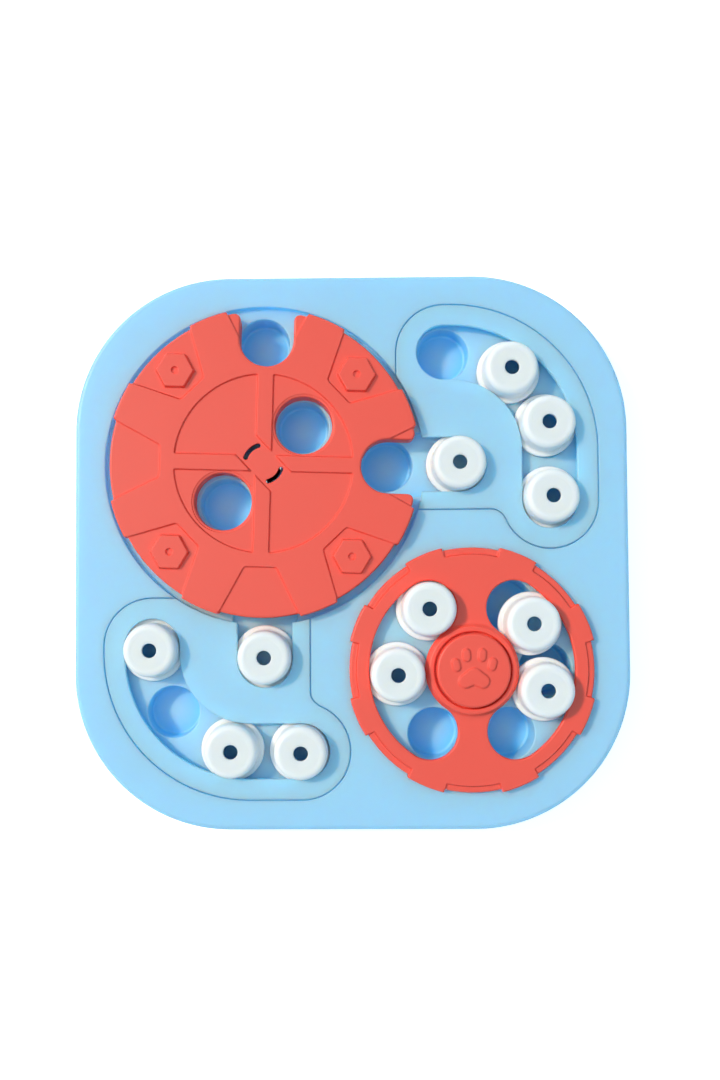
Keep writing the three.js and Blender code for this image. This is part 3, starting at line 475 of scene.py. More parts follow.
def piece_from(name, shape, body, nodes, material):
    """An object from corners in millimetres, triangles and a normal for each triangle's corner. It rides
    on a body and stands in for nodes of the frame."""
    corners, faces, normals = shape
    used, faces = np.unique(faces, return_inverse=True)
    corners, faces = corners[used] / PER_METRE, faces.reshape(-1, 3)
    mesh = bpy.data.meshes.new(name)
    mesh.vertices.add(len(corners))
    mesh.vertices.foreach_set("co", corners.astype(np.float32).ravel())
    mesh.loops.add(faces.size)
    mesh.loops.foreach_set("vertex_index", faces.astype(np.int32).ravel())
    mesh.polygons.add(len(faces))
    mesh.polygons.foreach_set("loop_start", np.arange(0, faces.size, 3, dtype=np.int32))
    mesh.update(calc_edges=True)
    mesh.normals_split_custom_set(normals.reshape(-1, 3).tolist())
    mesh.materials.append(material)
    piece = bpy.data.objects.new(name, mesh)
    bpy.context.scene.collection.objects.link(piece)
    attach(piece, body)
    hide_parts(*nodes)


def light(*srgb):
    """Linear colour from a screen colour in 0 to 255."""
    c = np.array(srgb) / 255
    return (*np.where(c < 0.04045, c / 12.92, ((c + 0.055) / 1.055) ** 2.4), 1)


def moulded_plastic(name, colour, roughness, mottle, grain, spread, method="BURLEY", painted_hollow_shade=None):
    """Plastic with the faint clouding of its pigment, a fine spark-eroded grain from the mould and a
    slow waviness in its gloss. Red, green and blue light spread in it by so many millimetres. Where a
    painted hollow shade is given, the base colour is painted towards it in the plastic's own hollows
    by ambient occlusion: painted shade for the colour that light takes on between a hollow's walls."""
    material = bpy.data.materials.new(name)
    material.use_nodes = True
    nodes, links = material.node_tree.nodes, material.node_tree.links
    shader = nodes["Principled BSDF"]
    place = nodes.new("ShaderNodeTexCoord")
    cloud = nodes.new("ShaderNodeTexNoise")
    cloud.inputs["Scale"].default_value = 28.0
    cloud.inputs["Detail"].default_value = 3.0
    links.new(place.outputs["Object"], cloud.inputs["Vector"])
    tint = nodes.new("ShaderNodeMix")
    tint.data_type = "RGBA"
    tint.inputs["A"].default_value = (*(c * (1 - mottle) for c in colour[:3]), 1)
    tint.inputs["B"].default_value = (*(min(c * (1 + mottle), 1) for c in colour[:3]), 1)
    links.new(cloud.outputs["Fac"], tint.inputs["Factor"])
    links.new(tint.outputs["Result"], shader.inputs["Base Color"])
    # Painted shade: occlusion within this piece turns the base colour towards the painted hollow shade in
    # its wells, channels and other hollows.
    if painted_hollow_shade:
        openness = nodes.new("ShaderNodeAmbientOcclusion")
        openness.only_local = True
        openness.samples = 6
        openness.inputs["Distance"].default_value = 0.012
        hollow = nodes.new("ShaderNodeMix")
        hollow.data_type = "RGBA"
        hollow.inputs["A"].default_value = painted_hollow_shade
        links.new(tint.outputs["Result"], hollow.inputs["B"])
        links.new(openness.outputs["AO"], hollow.inputs["Factor"])
        links.new(hollow.outputs["Result"], shader.inputs["Base Color"])
    gloss = nodes.new("ShaderNodeTexNoise")
    gloss.inputs["Scale"].default_value = 90.0
    gloss.inputs["Detail"].default_value = 4.0
    links.new(place.outputs["Object"], gloss.inputs["Vector"])
    sheen = nodes.new("ShaderNodeMapRange")
    sheen.inputs["To Min"].default_value = roughness - 0.05
    sheen.inputs["To Max"].default_value = roughness + 0.05
    links.new(gloss.outputs["Fac"], sheen.inputs["Value"])
    links.new(sheen.outputs["Result"], shader.inputs["Roughness"])
    pits = nodes.new("ShaderNodeTexNoise")
    pits.inputs["Scale"].default_value = 1600.0
    pits.inputs["Detail"].default_value = 2.0
    links.new(place.outputs["Object"], pits.inputs["Vector"])
    bump = nodes.new("ShaderNodeBump")
    bump.inputs["Strength"].default_value = grain
    bump.inputs["Distance"].default_value = 0.00005
    links.new(pits.outputs["Fac"], bump.inputs["Height"])
    links.new(bump.outputs["Normal"], shader.inputs["Normal"])
    shader.subsurface_method = method
    shader.inputs["Subsurface Weight"].default_value = 1.0
    shader.inputs["Subsurface Radius"].default_value = spread
    shader.inputs["Subsurface Scale"].default_value = 0.001
    return material


# The sky blue has painted shade: in its own wells, channels and hollows its colour turns towards a deeper,
# more saturated blue.
sky_blue = moulded_plastic("sky_blue_plastic", light(155, 206, 232), 0.47, 0.012, 0.25, (0.4, 9.0, 18.0),
                           painted_hollow_shade=light(36, 180, 238))

tray_square = rounded_square(TRAY_HALF, TRAY_CORNER)
pivot_hole = round_hole(DISC_AT, PIVOT_RADIUS)
pilot_hole = round_hole(WHEEL_AT, PILOT_RADIUS)
screw_holes = round_holes(cover_screws, SCREW_HOLE_RADIUS)
tray_domain = both_of(tray_square, outside(pivot_hole), outside(pilot_hole), outside(screw_holes))
both_tracks = either(track_line, other_side(track_line), lock_line, other_side(lock_line))
both_covers = either(cover_outline, other_side(cover_outline))
whole = [(-153.5, 153.3, -153.5, 153.3)]


def square_round(centre, half):
    return centre[0] - half, centre[0] + half, centre[1] - half, centre[1] + half


def squares_round(centres, half):
    return [square_round(c, half) for c in centres]


def relief(field, level, spacing, windows, outer=0.5, inner=0.5, run=0.2):
    """One step of a face to a level, where the field is negative: its outer and inner rounding and the
    run of its drafted wall, with the spacing of its lines and the windows that they are sought in."""
    return field, level, outer, inner, run, spacing, windows


def tray_rims(edge_radius):
    """The borders of one face of the tray, each with its rounding and the spacing and windows of its
    lines."""
    return [
        (tray_square, edge_radius, 1.5, whole),
        (outside(pivot_hole), 0.4, 0.5, [square_round(DISC_AT, 12)]),
        (outside(pilot_hole), 0.3, 0.25, [square_round(WHEEL_AT, 3)]),
        (outside(screw_holes), 0.3, 0.2, squares_round(cover_screws, 2.5)),
    ]


wheel_square, post_square = [square_round(WHEEL_AT, 64)], [square_round(WHEEL_AT, 8)]
tray_top = [
    relief(grown(both_covers, COVER_SEAM), COVER_FLOOR, 1.5, whole, inner=0.3, run=0.1),
    relief(round_hole(DISC_AT, DISC_PAN_RADIUS), DISC_FLOOR, 1.8, whole, run=0.15),
    relief(grown(both_tracks, CHANNEL_HALF), CHANNEL_FLOOR, 1.6, whole, outer=0.4, inner=1.0, run=0.15),
    relief(ring(WHEEL_AT, 22.5, 59.5), WHEEL_FLOOR, 1.3, wheel_square, inner=0.4, run=0.15),
    relief(ring(WHEEL_AT, 57.9, 61.0), WHEEL_TRENCH_FLOOR, 1.3, wheel_square, inner=0.4, run=0.15),
    relief(round_hole(WHEEL_AT, POST_RADIUS), POST_TOP, 0.5, post_square, outer=0.8, run=0.05),
    relief(round_holes(cover_screws, 2.9), SCREW_SEAT, 0.5, squares_round(cover_screws, 4),
           outer=0.2, inner=0.2, run=0.05),
    relief(round_holes(wells, WELL_RADIUS), WELL_FLOOR, 1.4, squares_round(wells, 17),
           outer=0.8, inner=1.6, run=0.3),
]
wheel_square_below = [square_round(WHEEL_AT, 66)]
tray_under = [
    relief(outside(grown(tray_square, -SKIN)), 1.5, 2.0, whole, outer=1.0, inner=0.4, run=0.5),
    relief(grown(both_covers, COVER_SEAM + SKIN), COVER_FLOOR - SKIN, 2.2, whole),
    relief(round_hole(DISC_AT, DISC_PAN_RADIUS + SKIN), DISC_FLOOR - SKIN, 2.0, whole),
    relief(grown(both_tracks, CHANNEL_HALF + SKIN), CHANNEL_FLOOR - SKIN, 2.2, whole, outer=0.35),
    relief(round_hole(WHEEL_AT, 60.0), WHEEL_FLOOR - SKIN, 2.0, wheel_square_below),
    relief(ring(WHEEL_AT, 56.7, 63.4), WHEEL_TRENCH_FLOOR - SKIN, 2.0, wheel_square_below),
    relief(round_hole(WHEEL_AT, 20.1), DECK_TOP - SKIN, 1.2, [square_round(WHEEL_AT, 23)]),
    relief(round_hole(WHEEL_AT, POST_RADIUS), 13.4, 0.6, post_square, inner=0.4, run=0.1),
    relief(round_holes(cover_screws, 4.5), SCREW_SEAT_BELOW, 0.7, squares_round(cover_screws, 6), run=0.1),
    relief(round_holes(wells, WELL_RADIUS + CUP_WALL), WELL_FLOOR - CUP_WALL, 2.2, whole,
           outer=0.8, inner=1.0),
    relief(round_holes(feet, 9.8), 1.5, 1.0, squares_round(feet, 12)),
    relief(round_holes(feet, 7.8), 3.5, 0.9, squares_round(feet, 10), outer=0.3, inner=0.3, run=0.1),
]
rims_above, rims_below = tray_rims(3.0), tray_rims(0.4)


def lines_for(reliefs, borders):
    """Lines of every relief, and of every border with the start of its rounding. A rounding's lines lie
    where its quarter circle begins, at half its width, and where it has turned by 60 degrees."""
    shares = np.array([1, 0.5, 0.134])
    lines = []
    for field, radius, spacing, windows in borders:
        lines += [contour(field, [0, *(-radius * shares)], spacing, window) for window in windows]
    for field, _, outer, inner, run, spacing, windows in reliefs:
        levels = [*(outer * shares), 0, -run, *(-run - inner * shares[::-1])]
        lines += [contour(field, levels, spacing, window) for window in windows]
    return lines


tray_shape = moulding(
    tray_domain,
    face_of(DECK_TOP, tray_top, rims_above, 1),
    face_of(DECK_TOP - SKIN, tray_under, rims_below, -1),
    lines_for(tray_top, rims_above), lines_for(tray_under, rims_below),
)
cups = [f"{row}_well_cup_{i + 1}" for row, count in
        (("inner", 4), ("outer", 4), ("right_track", 4), ("left_track", 4), ("wheel", 6))
        for i in range(count)]
piece_from("tray_moulding", tray_shape, "tray", ["base_tray", *cups], sky_blue)

# Track covers
# Two flush plates of the same plastic, mirror images of each other. Each has a slot for its three
# pegs and a straight slot that leads to the turntable, and hangs on four screws from below.

SLOT_HALF = 15.0
BOSS_RADIUS = 2.6
BOSS_FOOT = 10.7
right_screws = cover_screws[:4]
disc_side = outside(round_hole(DISC_AT, DISC_PAN_RADIUS))
track_slot, lock_slot = (outside(grown(line, SLOT_HALF)) for line in (track_line, lock_line))
cover_domain = both_of(cover_outline, disc_side, track_slot, lock_slot)
cover_window = [(23.0, 137.1, -2.0, 137.1)]
cover_rims = [
    (cover_outline, 0.5, 1.0, cover_window),
    (disc_side, 0.35, 1.0, cover_window),
    (track_slot, 0.6, 1.0, cover_window),
    (lock_slot, 0.6, 1.0, cover_window),
]
cover_bosses = [
    relief(round_holes(right_screws, BOSS_RADIUS), BOSS_FOOT, 0.5, squares_round(right_screws, 4),
           outer=0.4, inner=0.3, run=0.1),
    relief(round_holes(right_screws, SCREW_HOLE_RADIUS), DECK_TOP - SKIN, 0.4,
           squares_round(right_screws, 3), outer=0.2, inner=0.2, run=0.05),
]
cover_shape = moulding(cover_domain, face_of(DECK_TOP, [], cover_rims, 1),
                       face_of(DECK_TOP - SKIN, cover_bosses, [(cover_domain, 0.2)], -1),
                       lines_for(cover_bosses, cover_rims))
for side, shape in (("right", cover_shape), ("left", mirrored(cover_shape))):
    piece_from(f"{side}_cover_plate", shape, "tray", [f"{side}_track_cover"], sky_blue)

# Turntable
# A coral disc with a short skirt. It has two holes and two notches that uncover wells, recessed panels
# and sectors, four raised hexagons, and two windows over the snap hooks that hold it in the tray.

DISC_RADIUS = 84.9
DISC_STEP_BACK = 1.6
DISC_TOP = 30.0
DISC_UNDERSIDE = 27.4
DISC_HOLE_RADIUS = 15.5
NOTCH_RADIUS = 14.6
PANEL_START = 55.8
PANEL_HALF = 8.8
PANEL_FLARE = 27.5 * TURN
HEX_CIRCLE = 69.4
HEX_HALF = 9.27
HOOK_CIRCLE = 10.0
coral = moulded_plastic("coral_plastic", light(247, 80, 62), 0.45, 0.012, 0.25, (1.4, 0.3, 0.25))


def folded(x, y, turn, first=0.0):
    """Place in the nearest of several equal sectors: the way along its middle line and across it."""
    a = np.arctan2(y, x) - first * TURN
    a = a - np.round(a / (turn * TURN)) * turn * TURN
    r = np.hypot(x, y)
    return r * np.cos(a), r * np.sin(a)


def rounded_both(a, b, radius):
    """Where both distances are negative, with an arc in the corner between the two outlines."""
    return np.minimum(np.maximum(a, b), -radius) + np.hypot(
        np.maximum(a + radius, 0), np.maximum(b + radius, 0))


def arc_line(x, y, radius, half, turn, first=0.0):
    """Distance from arcs about the axis, each reaching half degrees to both sides of its middle."""
    u, v = folded(x, y, turn, first)
    beyond = np.maximum(abs(np.arctan2(v, u)) - half * TURN, 0)
    r = np.hypot(x, y)
    return np.hypot(r * np.cos(beyond) - radius, r * np.sin(beyond))


def disc_panel(x, y):
    """Eight panels that open towards the rim, with sides at 27.5 degrees to their middle lines."""
    u, v = folded(x, y, 45)
    side = (abs(v) - PANEL_HALF - (u - PANEL_START) * math.tan(PANEL_FLARE)) * math.cos(PANEL_FLARE)
    return rounded_both(PANEL_START - u, side, 1.2)


def disc_notches(x, y):
    """Two round-ended notches in the rim."""
    first = np.hypot(np.minimum(x - OUTER_WELL_CIRCLE, 0), y)
    second = np.hypot(np.minimum(y - OUTER_WELL_CIRCLE, 0), x)
    return np.minimum(first, second) - NOTCH_RADIUS


def disc_rim(x, y):
    """The rim, a little further in at each panel, with an arc of 4 mm at the mouth of each notch."""
    r = np.hypot(x, y)
    step_back = rounded_both(disc_panel(x, y), DISC_RADIUS - DISC_STEP_BACK - r, 0.5)
    return rounded_both(rounded_both(r - DISC_RADIUS, -step_back, 0.6), -disc_notches(x, y), 4.0)


disc_hole_places = [polar((0, 0), INNER_WELL_CIRCLE, a) for a in (45, 225)]
disc_holes = round_holes(disc_hole_places, DISC_HOLE_RADIUS)
hex_places = [polar((0, 0), HEX_CIRCLE, a) for a in (45, 135, 225, 315)]


def hook_windows(x, y):
    return arc_line(x, y, HOOK_CIRCLE, 27.8, 180, 135) - 1.25


def disc_sectors(x, y):
    """Four quarter circles between two crossing ribs, and a band across the middle along 135 degrees."""
    quarter = rounded_both(np.hypot(x, y) - 48.6, 4.1 - np.minimum(abs(x), abs(y)), 1.0)
    along, across = (y - x) * math.sqrt(0.5), (x + y) * math.sqrt(0.5)
    return np.minimum(quarter, rounded_both(abs(along) - 40.4, abs(across) - 7.9, 1.0))


def disc_hexes(x, y):
    """Four hexagons, 10.7 mm from middle to corner, with corners of 0.8 mm."""
    gap = np.full(np.shape(x), 1e9)
    for cx, cy in hex_places:
        px, py = abs(x - cx), abs(y - cy)
        slanted = px * math.sin(60 * TURN) + py * 0.5 - HEX_HALF
        gap = np.minimum(gap, rounded_both(slanted, py - HEX_HALF, 0.8))
    return gap


def disc_skirts(x, y):
    """What reaches down to the tray: the rim, collars round the holes and notches, and the sleeve."""
    r = np.hypot(x, y)
    sleeve = np.maximum(r - 14.5, 12.5 - r)
    return np.minimum.reduce([81.1 - r, disc_holes(x, y) - 2, disc_notches(x, y) - 2, sleeve])


disc_window = [(-85.9, 86.1, -85.9, 86.1)]
disc_top = [
    relief(disc_panel, 29.2, 0.9, disc_window, outer=0.35, inner=0.4, run=0.4),
    relief(disc_sectors, 29.1, 0.9, [(-50.2, 50.4, -50.2, 50.4)], outer=0.35, inner=0.4, run=0.4),
    relief(round_holes(disc_hole_places, 17.0), 28.9, 0.8, squares_round(disc_hole_places, 20),
           outer=0.3, inner=0.3, run=0.3),
    relief(disc_hexes, 31.5, 0.5, squares_round(hex_places, 12), outer=0.3, inner=0.6, run=0.5),
    relief(round_holes(hex_places, 1.9), 30.3, 0.3, squares_round(hex_places, 3),
           outer=0.3, inner=0.2, run=0.1),
]
disc_rims = [
    (disc_rim, 1.2, 0.9, disc_window),
    (outside(disc_holes), 0.9, 0.8, squares_round(disc_hole_places, 16)),
    (outside(hook_windows), 0.25, 0.35, [(-12.5, 12.6, -12.5, 12.6)]),
]
disc_under = [relief(disc_skirts, 19.1, 1.0, disc_window, outer=0.4, inner=0.4, run=0.1)]
disc_domain = both_of(disc_rim, outside(disc_holes), outside(hook_windows))
disc_shell = moulding(disc_domain, face_of(DISC_TOP, disc_top, disc_rims, 1),
                      face_of(DISC_UNDERSIDE, disc_under, [(disc_domain, 0.25)], -1),
                      lines_for(disc_top + disc_under, disc_rims))


def rounded_profile(corners, closed=True):
    """Points of a profile and its normals on the left, with an arc in each corner. Each corner is a
    radius, a height and the size of its arc. An open profile starts and ends on its first and last
    corner."""
    points = np.array([c[:2] for c in corners], float)
    at, out = [], []
    for i, (r, z, size) in enumerate(corners):
        if not closed and i in (0, len(corners) - 1):
            one, two = points[max(i - 1, 0)], points[min(i + 1, len(corners) - 1)]
            d = (two - one) / np.linalg.norm(two - one)
            at.append((r, z))
            out.append((-d[1], d[0]))
            continue
        d1 = points[i] - points[i - 1]
        d2 = points[(i + 1) % len(points)] - points[i]
        d1, d2 = d1 / np.linalg.norm(d1), d2 / np.linalg.norm(d2)
        turn = math.atan2(d1[0] * d2[1] - d1[1] * d2[0], d1 @ d2)
        start = points[i] - d1 * size * math.tan(abs(turn) / 2)
        side = math.copysign(1, turn)
        centre = start + side * size * np.array([-d1[1], d1[0]])
        steps = max(2, math.ceil(abs(turn) / (18 * TURN)))
        for k in range(steps + 1):
            c, s = math.cos(turn * k / steps), math.sin(turn * k / steps)
            d = np.array([c * d1[0] - s * d1[1], s * d1[0] + c * d1[1]])
            left = np.array([-d[1], d[0]])
            at.append(centre - side * size * left)
            out.append(left)
    return np.array(at), np.array(out)


def lathed(corners, count, closed=True):
    """A profile turned about Z. Points on the axis become one pole."""
    at, out = rounded_profile(corners, closed)
    a = np.arange(count) * 2 * math.pi / count
    grid = np.stack([np.outer(at[:, 0], np.cos(a)), np.outer(at[:, 0], np.sin(a)),
                     np.outer(at[:, 1], np.ones(count))], -1)
    normals = np.stack([np.outer(out[:, 0], np.cos(a)), np.outer(out[:, 0], np.sin(a)),
                        np.outer(out[:, 1], np.ones(count))], -1)
    return skin(grid, normals, closed)


def skin(grid, normals, closed):
    """Triangles over a grid of points that closes on itself round its second axis, and round its first
    one too where closed. Points that coincide are joined, and triangles without area are dropped."""
    rows, count = grid.shape[:2]
    i, j = np.meshgrid(np.arange(rows if closed else rows - 1), np.arange(count), indexing="ij")
    k, n = (i + 1) % rows, (j + 1) % count
    a, b, c, d = (v[0].ravel() * count + v[1].ravel() for v in ((i, j), (k, j), (k, n), (i, n)))
    faces = np.vstack([np.column_stack([a, b, c]), np.column_stack([a, c, d])])
    flat = normals.reshape(-1, 3)[faces]
    places = np.round(grid.reshape(-1, 3), 5)
    _, first, same = np.unique(places, axis=0, return_index=True, return_inverse=True)
    faces = same.reshape(-1)[faces]
    whole_ones = (faces[:, 0] != faces[:, 1]) & (faces[:, 1] != faces[:, 2]) & (faces[:, 2] != faces[:, 0])
    return grid.reshape(-1, 3)[first], faces[whole_ones], flat[whole_ones]


def arc_bar(corners, middle, span, count):
    """A closed profile carried along an arc about Z, with flat ends."""
    at, out = rounded_profile(corners)
    a = (middle + np.linspace(-span / 2, span / 2, count)) * TURN
    ring_at = np.stack([np.outer(np.cos(a), at[:, 0]), np.outer(np.sin(a), at[:, 0]),
                        np.outer(np.ones(count), at[:, 1])], -1)
    ring_out = np.stack([np.outer(np.cos(a), out[:, 0]), np.outer(np.sin(a), out[:, 0]),
                         np.outer(np.ones(count), out[:, 1])], -1)
    ends = [ring_at[i].mean(0) for i in (0, -1)]
    way = [np.array([math.sin(a[0]), -math.cos(a[0]), 0]), np.array([-math.sin(a[-1]), math.cos(a[-1]), 0])]
    size = len(at)
    grid = np.concatenate([np.broadcast_to(ends[0], (1, size, 3)), ring_at[:1], ring_at, ring_at[-1:],
                           np.broadcast_to(ends[1], (1, size, 3))])
    normals = np.concatenate([np.broadcast_to(way[0], (2, size, 3)), ring_out,
                              np.broadcast_to(way[1], (2, size, 3))])
    return skin(grid, normals, False)


hook_profile = [(6.9, 27.8, 0.1), (8.8, 27.8, 0.1), (8.8, 16.1, 0.3), (10.4, 16.1, 0.2), (10.4, 15.4, 0.2),
                (9.2, 14.1, 0.3), (6.9, 14.1, 0.3)]
hooks = [arc_bar(hook_profile, angle, 69, 15) for angle in (135, 315)]
piece_from("turntable_moulding", moved(together(disc_shell, *hooks), -1.8, (*DISC_AT, 0)), "turntable",
           ["turntable_disc"], coral)

# Steering wheel
# A coral rim of eight lugs, two spokes and a raised hub, with two kidney-shaped openings over the ring
# of wells. Its underside has a locating ring, and is hollow over the flanges of the pegs.


WHEEL_RADIUS = 67.3
WHEEL_STEP_BACK = 1.5
WHEEL_TOP = 27.0
WHEEL_UNDERSIDE = 19.4
OPENING_HALF = 15.0


def wheel_panel(x, y):
    """The low outer strip between two lugs."""
    u, v = folded(x, y, 45)
    side = abs(v) * math.cos(13.4 * TURN) - u * math.sin(13.4 * TURN)
    return rounded_both(62.0 - np.hypot(x, y), side, 0.6)


def wheel_rim(x, y):
    """The rim, a little further in between its lugs."""
    r = np.hypot(x, y)
    step_back = rounded_both(wheel_panel(x, y), WHEEL_RADIUS - WHEEL_STEP_BACK - r, 0.4)
    return rounded_both(r - WHEEL_RADIUS, -step_back, 0.6)


def wheel_openings(x, y):
    return arc_line(x, y, WHEEL_WELL_CIRCLE, 55.2, 180) - OPENING_HALF


wheel_window = [(-68.3, 68.2, -68.3, 68.2)]
hub_window = [(-29.3, 29.1, -29.3, 29.1)]
wheel_top = [
    relief(wheel_panel, 25.8, 0.8, wheel_window, outer=0.4, run=0.4),
    relief(round_hole((0, 0), 24.2), 30.0, 0.8, hub_window, outer=3.2, inner=1.3, run=0.3),
    relief(round_hole((0, 0), 20.7), 27.4, 0.8, hub_window, outer=0.6, inner=0.3, run=0.1),
    relief(round_hole((0, 0), 17.0), 26.0, 0.8, hub_window, outer=0.2, inner=0.3, run=0.1),
]
wheel_bore = round_hole((0, 0), 5.4)
wheel_rims = [
    (wheel_rim, 1.2, 0.8, wheel_window),
    (outside(wheel_openings), 1.0, 0.8, wheel_window),
    (outside(wheel_bore), 0.3, 0.6, [(-7.1, 7.0, -7.1, 7.0)]),
]
wheel_under = [
    relief(outside(round_hole((0, 0), 60.5)), 22.3, 1.0, wheel_window, outer=0.3, inner=0.3, run=0.1),
    relief(round_hole((0, 0), 24.0), 22.3, 1.0, hub_window, outer=0.3, inner=0.3, run=0.1),
    relief(ring((0, 0), 22.5, 58.4), 24.4, 1.0, wheel_window, outer=0.3, inner=0.4, run=0.1),
]
wheel_domain = both_of(wheel_rim, outside(wheel_openings), outside(wheel_bore))
wheel_shape = moulding(wheel_domain, face_of(WHEEL_TOP, wheel_top, wheel_rims, 1),
                       face_of(WHEEL_UNDERSIDE, wheel_under, [(wheel_domain, 0.25)], -1),
                       lines_for(wheel_top + wheel_under, wheel_rims))
piece_from("wheel_moulding", moved(wheel_shape, 0, (*WHEEL_AT, 0)), "wheel", ["steering_wheel"],
           coral)

# Wheel cap
# A coral button that snaps into the hub over the wheel's screw. A paw stands half a millimetre proud on
# its top, and a skirt below it grips the well in the hub.


def paw(x, y):
    """One pad, wider below than above, under four upright toes on an arc."""
    heel = np.hypot(x, y + 3.0) - 4.6
    lobes = np.hypot(abs(x) - 4.6, y + 5.6) - 3.8
    share = np.clip(0.5 + (lobes - heel) / 6, 0, 1)
    shape = lobes + (heel - lobes) * share - 3 * share * (1 - share)
    for tx, ty, turn in ((-9.4, 3.0, 14), (-3.9, 8.2, 5), (4.4, 8.2, -5), (9.8, 3.3, -14)):
        c, s = math.cos(turn * TURN), math.sin(turn * TURN)
        along, across = (y - ty) * c - (x - tx) * s, (x - tx) * c + (y - ty) * s
        shape = np.minimum(shape, np.hypot(across, np.maximum(abs(along) - 1.3, 0)) - 2.3)
    return shape


cap_disc = round_hole((0, 0), 19.7)
cap_window = [(-20.7, 20.5, -20.7, 20.5)]
cap_top = [relief(paw, 33.5, 0.5, [(-15.0, 15.2, -12.0, 14.1)], outer=0.8, inner=1.4, run=0.4)]
cap_rims = [(cap_disc, 1.4, 0.8, cap_window)]
cap_under = [
    relief(round_hole((0, 0), 16.7), 26.3, 0.8, cap_window, outer=0.2, inner=0.3, run=0.05),
    relief(round_hole((0, 0), 14.9), 30.8, 0.8, cap_window, outer=0.3, inner=0.4, run=0.1),
]
cap_shape = moulding(cap_disc, face_of(33.0, cap_top, cap_rims, 1),
                     face_of(27.7, cap_under, [(cap_disc, 0.2)], -1),
                     lines_for(cap_top + cap_under, cap_rims))
piece_from("cap_moulding", moved(cap_shape, 0, (*WHEEL_AT, 0)), "wheel", ["wheel_cap"],
           coral)

# Pegs
# Twelve white pegs, all alike: an inverted cup with a small hole in its top and a flange that the
# covers and the wheel hold down. The top has a shallow round recess with a soft step round it.

white = moulded_plastic("white_plastic", light(253, 252, 255), 0.42, 0.003, 0.2, (3.0, 3.4, 4.4),
                        "RANDOM_WALK")
PEG_FOOT = 16.1
peg_shape = lathed([
    (3.9, 30.4, 0.4), (9.8, 30.4, 1.5), (10.8, 30.5, 1.5), (14.3, 30.5, 3.0), (14.7, 18.7, 0.9),
    (17.2, 18.7, 0.8), (17.2, 16.1, 0.4), (12.5, 16.1, 0.3), (12.5, 28.5, 1.2), (3.9, 28.5, 0.3),
], 96)


def middle_of(node):
    """Middle of a node's box across the frame, and the height of its underside."""
    low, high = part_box(node)
    return (low[0] + high[0]) / 2 * PER_METRE, (low[1] + high[1]) / 2 * PER_METRE, low[2] * PER_METRE


pegs = [f"{side}_track_peg_{i}" for side in ("right", "left") for i in (1, 2, 3)]
pegs += ["right_lock_peg", "left_lock_peg"] + [f"wheel_peg_{i}" for i in (1, 2, 3, 4)]
for name in pegs:
    x, y, underside = middle_of(name)
    piece_from(f"{name}_moulding", moved(peg_shape, 0, (x, y, underside - PEG_FOOT)), name, [name],
               white)

# Screws and washer
# Zinc-plated self-tapping screws with pan heads and cross recesses: one under the wheel's cap, on a
# plain washer, and four that hold each track cover from below. None shows from above.


def steel_surface():
    """Bright zinc with a fine tumbled grain and a slightly uneven gloss."""
    material = bpy.data.materials.new("zinc_plated_steel")
    material.use_nodes = True
    nodes, links = material.node_tree.nodes, material.node_tree.links
    shader = nodes["Principled BSDF"]
    shader.inputs["Base Color"].default_value = light(220, 221, 224)
    shader.inputs["Metallic"].default_value = 1.0
    place = nodes.new("ShaderNodeTexCoord")
    grain = nodes.new("ShaderNodeTexNoise")
    grain.inputs["Scale"].default_value = 700.0
    grain.inputs["Detail"].default_value = 3.0
    links.new(place.outputs["Object"], grain.inputs["Vector"])
    gloss = nodes.new("ShaderNodeMapRange")
    gloss.inputs["To Min"].default_value = 0.22
    gloss.inputs["To Max"].default_value = 0.38
    links.new(grain.outputs["Fac"], gloss.inputs["Value"])
    links.new(gloss.outputs["Result"], shader.inputs["Roughness"])
    return material


steel = steel_surface()


def threaded(radius, length, pitch, depth):
    """A thread below a head: its radius falls from the crest to the core over two thirds of a pitch,
    measured down one turn of the helix, and the last two pitches taper to a point."""
    rows, count = math.ceil(length / pitch * 8), 24
    z = -np.linspace(0, length, rows + 1)
    a = np.arange(count) * 2 * math.pi / count
    turns = z[:, None] / pitch - a[None, :] / (2 * math.pi)
    away = abs(turns - np.round(turns)) * 2
    taper = np.clip((length + z[:, None]) / (2 * pitch), 0.12, 1)
    r = (radius - depth * np.clip(away * 1.5, 0, 1)) * taper
    ring_of = np.stack([r * np.cos(a), r * np.sin(a), np.broadcast_to(z[:, None], r.shape)], -1)
    out = np.stack([np.broadcast_to(np.cos(a), r.shape), np.broadcast_to(np.sin(a), r.shape), 0 * r], -1)
    ends = [np.broadcast_to(np.array([0, 0, h]), (1, count, 3)) for h in (0, -length)]
    caps = [np.broadcast_to(np.array([0, 0, w]), (1, count, 3)) for w in (1, -1)]
    grid = np.concatenate([ends[0], ring_of, ends[1]])
    normals = np.concatenate([caps[0], out, caps[1]])
    return skin(grid, normals, False)


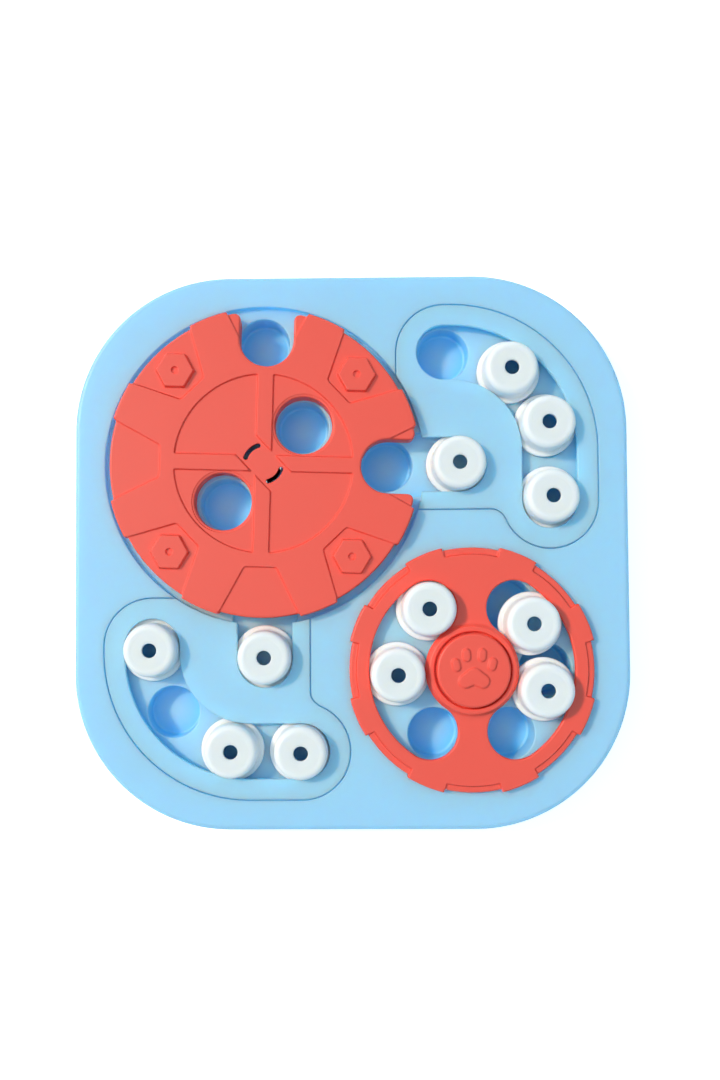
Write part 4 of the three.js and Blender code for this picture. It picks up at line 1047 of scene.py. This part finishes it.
def screw(radius, height, shank, length, pitch):
    """Head with its underside at z = 0 and a cross recess, over a thread that reaches down."""
    def cross(x, y):
        px, py = abs(x), abs(y)
        return np.maximum(np.minimum(px, py) - radius * 0.13, np.maximum(px, py) - radius * 0.62)
    edge = round_hole((0, 0), radius)
    window = [(-radius * 1.2, radius * 1.25, -radius * 1.2, radius * 1.25)]
    recess = [relief(cross, height * 0.35, radius * 0.11, window, outer=radius * 0.04,
                     inner=radius * 0.06, run=radius * 0.05)]
    rim = [(edge, height * 0.6, radius * 0.15, window)]
    head = moulding(edge, face_of(height, recess, rim, 1), face_of(0.0, [], [(edge, radius * 0.04)], -1),
                    lines_for(recess, rim))
    return together(head, threaded(shank, length, pitch, shank * 0.3))


def flipped(shape):
    """A shape turned by half a turn about X."""
    corners, faces, normals = shape
    flip = np.array([1, -1, -1])
    return corners * flip, faces, normals * flip


piece_from("wheel_screw_turned", moved(screw(4.0, 2.2, 1.4, 12.0, 1.1), 20, (*WHEEL_AT, 27.6)), "tray",
           ["wheel_screw"], steel)
washer = lathed([(1.7, 27.3, 0.15), (9.0, 27.3, 0.25), (9.0, 26.3, 0.15), (1.7, 26.3, 0.15)], 64)
piece_from("wheel_washer_stamped", moved(washer, 0, (*WHEEL_AT, 0)), "tray", ["wheel_washer"], steel)
SCREW_HEAD_SEAT = 8.3
cover_screw = flipped(screw(2.3, 1.6, 1.0, 9.0, 0.8))
for i in range(len(cover_screws)):
    name = f"{'right' if i < 4 else 'left'}_cover_screw_{i % 4 + 1}"
    x, y, _ = middle_of(name)
    piece_from(f"{name}_turned", moved(cover_screw, 37 * i, (x, y, SCREW_HEAD_SEAT)), "tray", [name],
               steel)

# Feet
# Four grey rubber pads pressed into rings under the corners, with a chamfer and a fine concentric tread.

rubber = moulded_plastic("grey_rubber", light(98, 102, 108), 0.75, 0.03, 0.5, (0.2, 0.2, 0.2))
foot = lathed([
    (0, 3.2, 0), (7.5, 3.2, 0.2), (7.5, 0.6, 0.3), (6.9, 0, 0.3), (5.5, 0, 0.2), (5.2, 0.25, 0.2),
    (4.7, 0.25, 0.2), (4.4, 0, 0.2), (2.7, 0, 0.2), (2.4, 0.25, 0.2), (0, 0.25, 0),
], 72, closed=False)
for corner in ("front_right", "back_right", "back_left", "front_left"):
    node = f"{corner}_foot"
    piece_from(f"{corner}_pad", moved(foot, 0, middle_of(node)), "tray", [node], rubber)
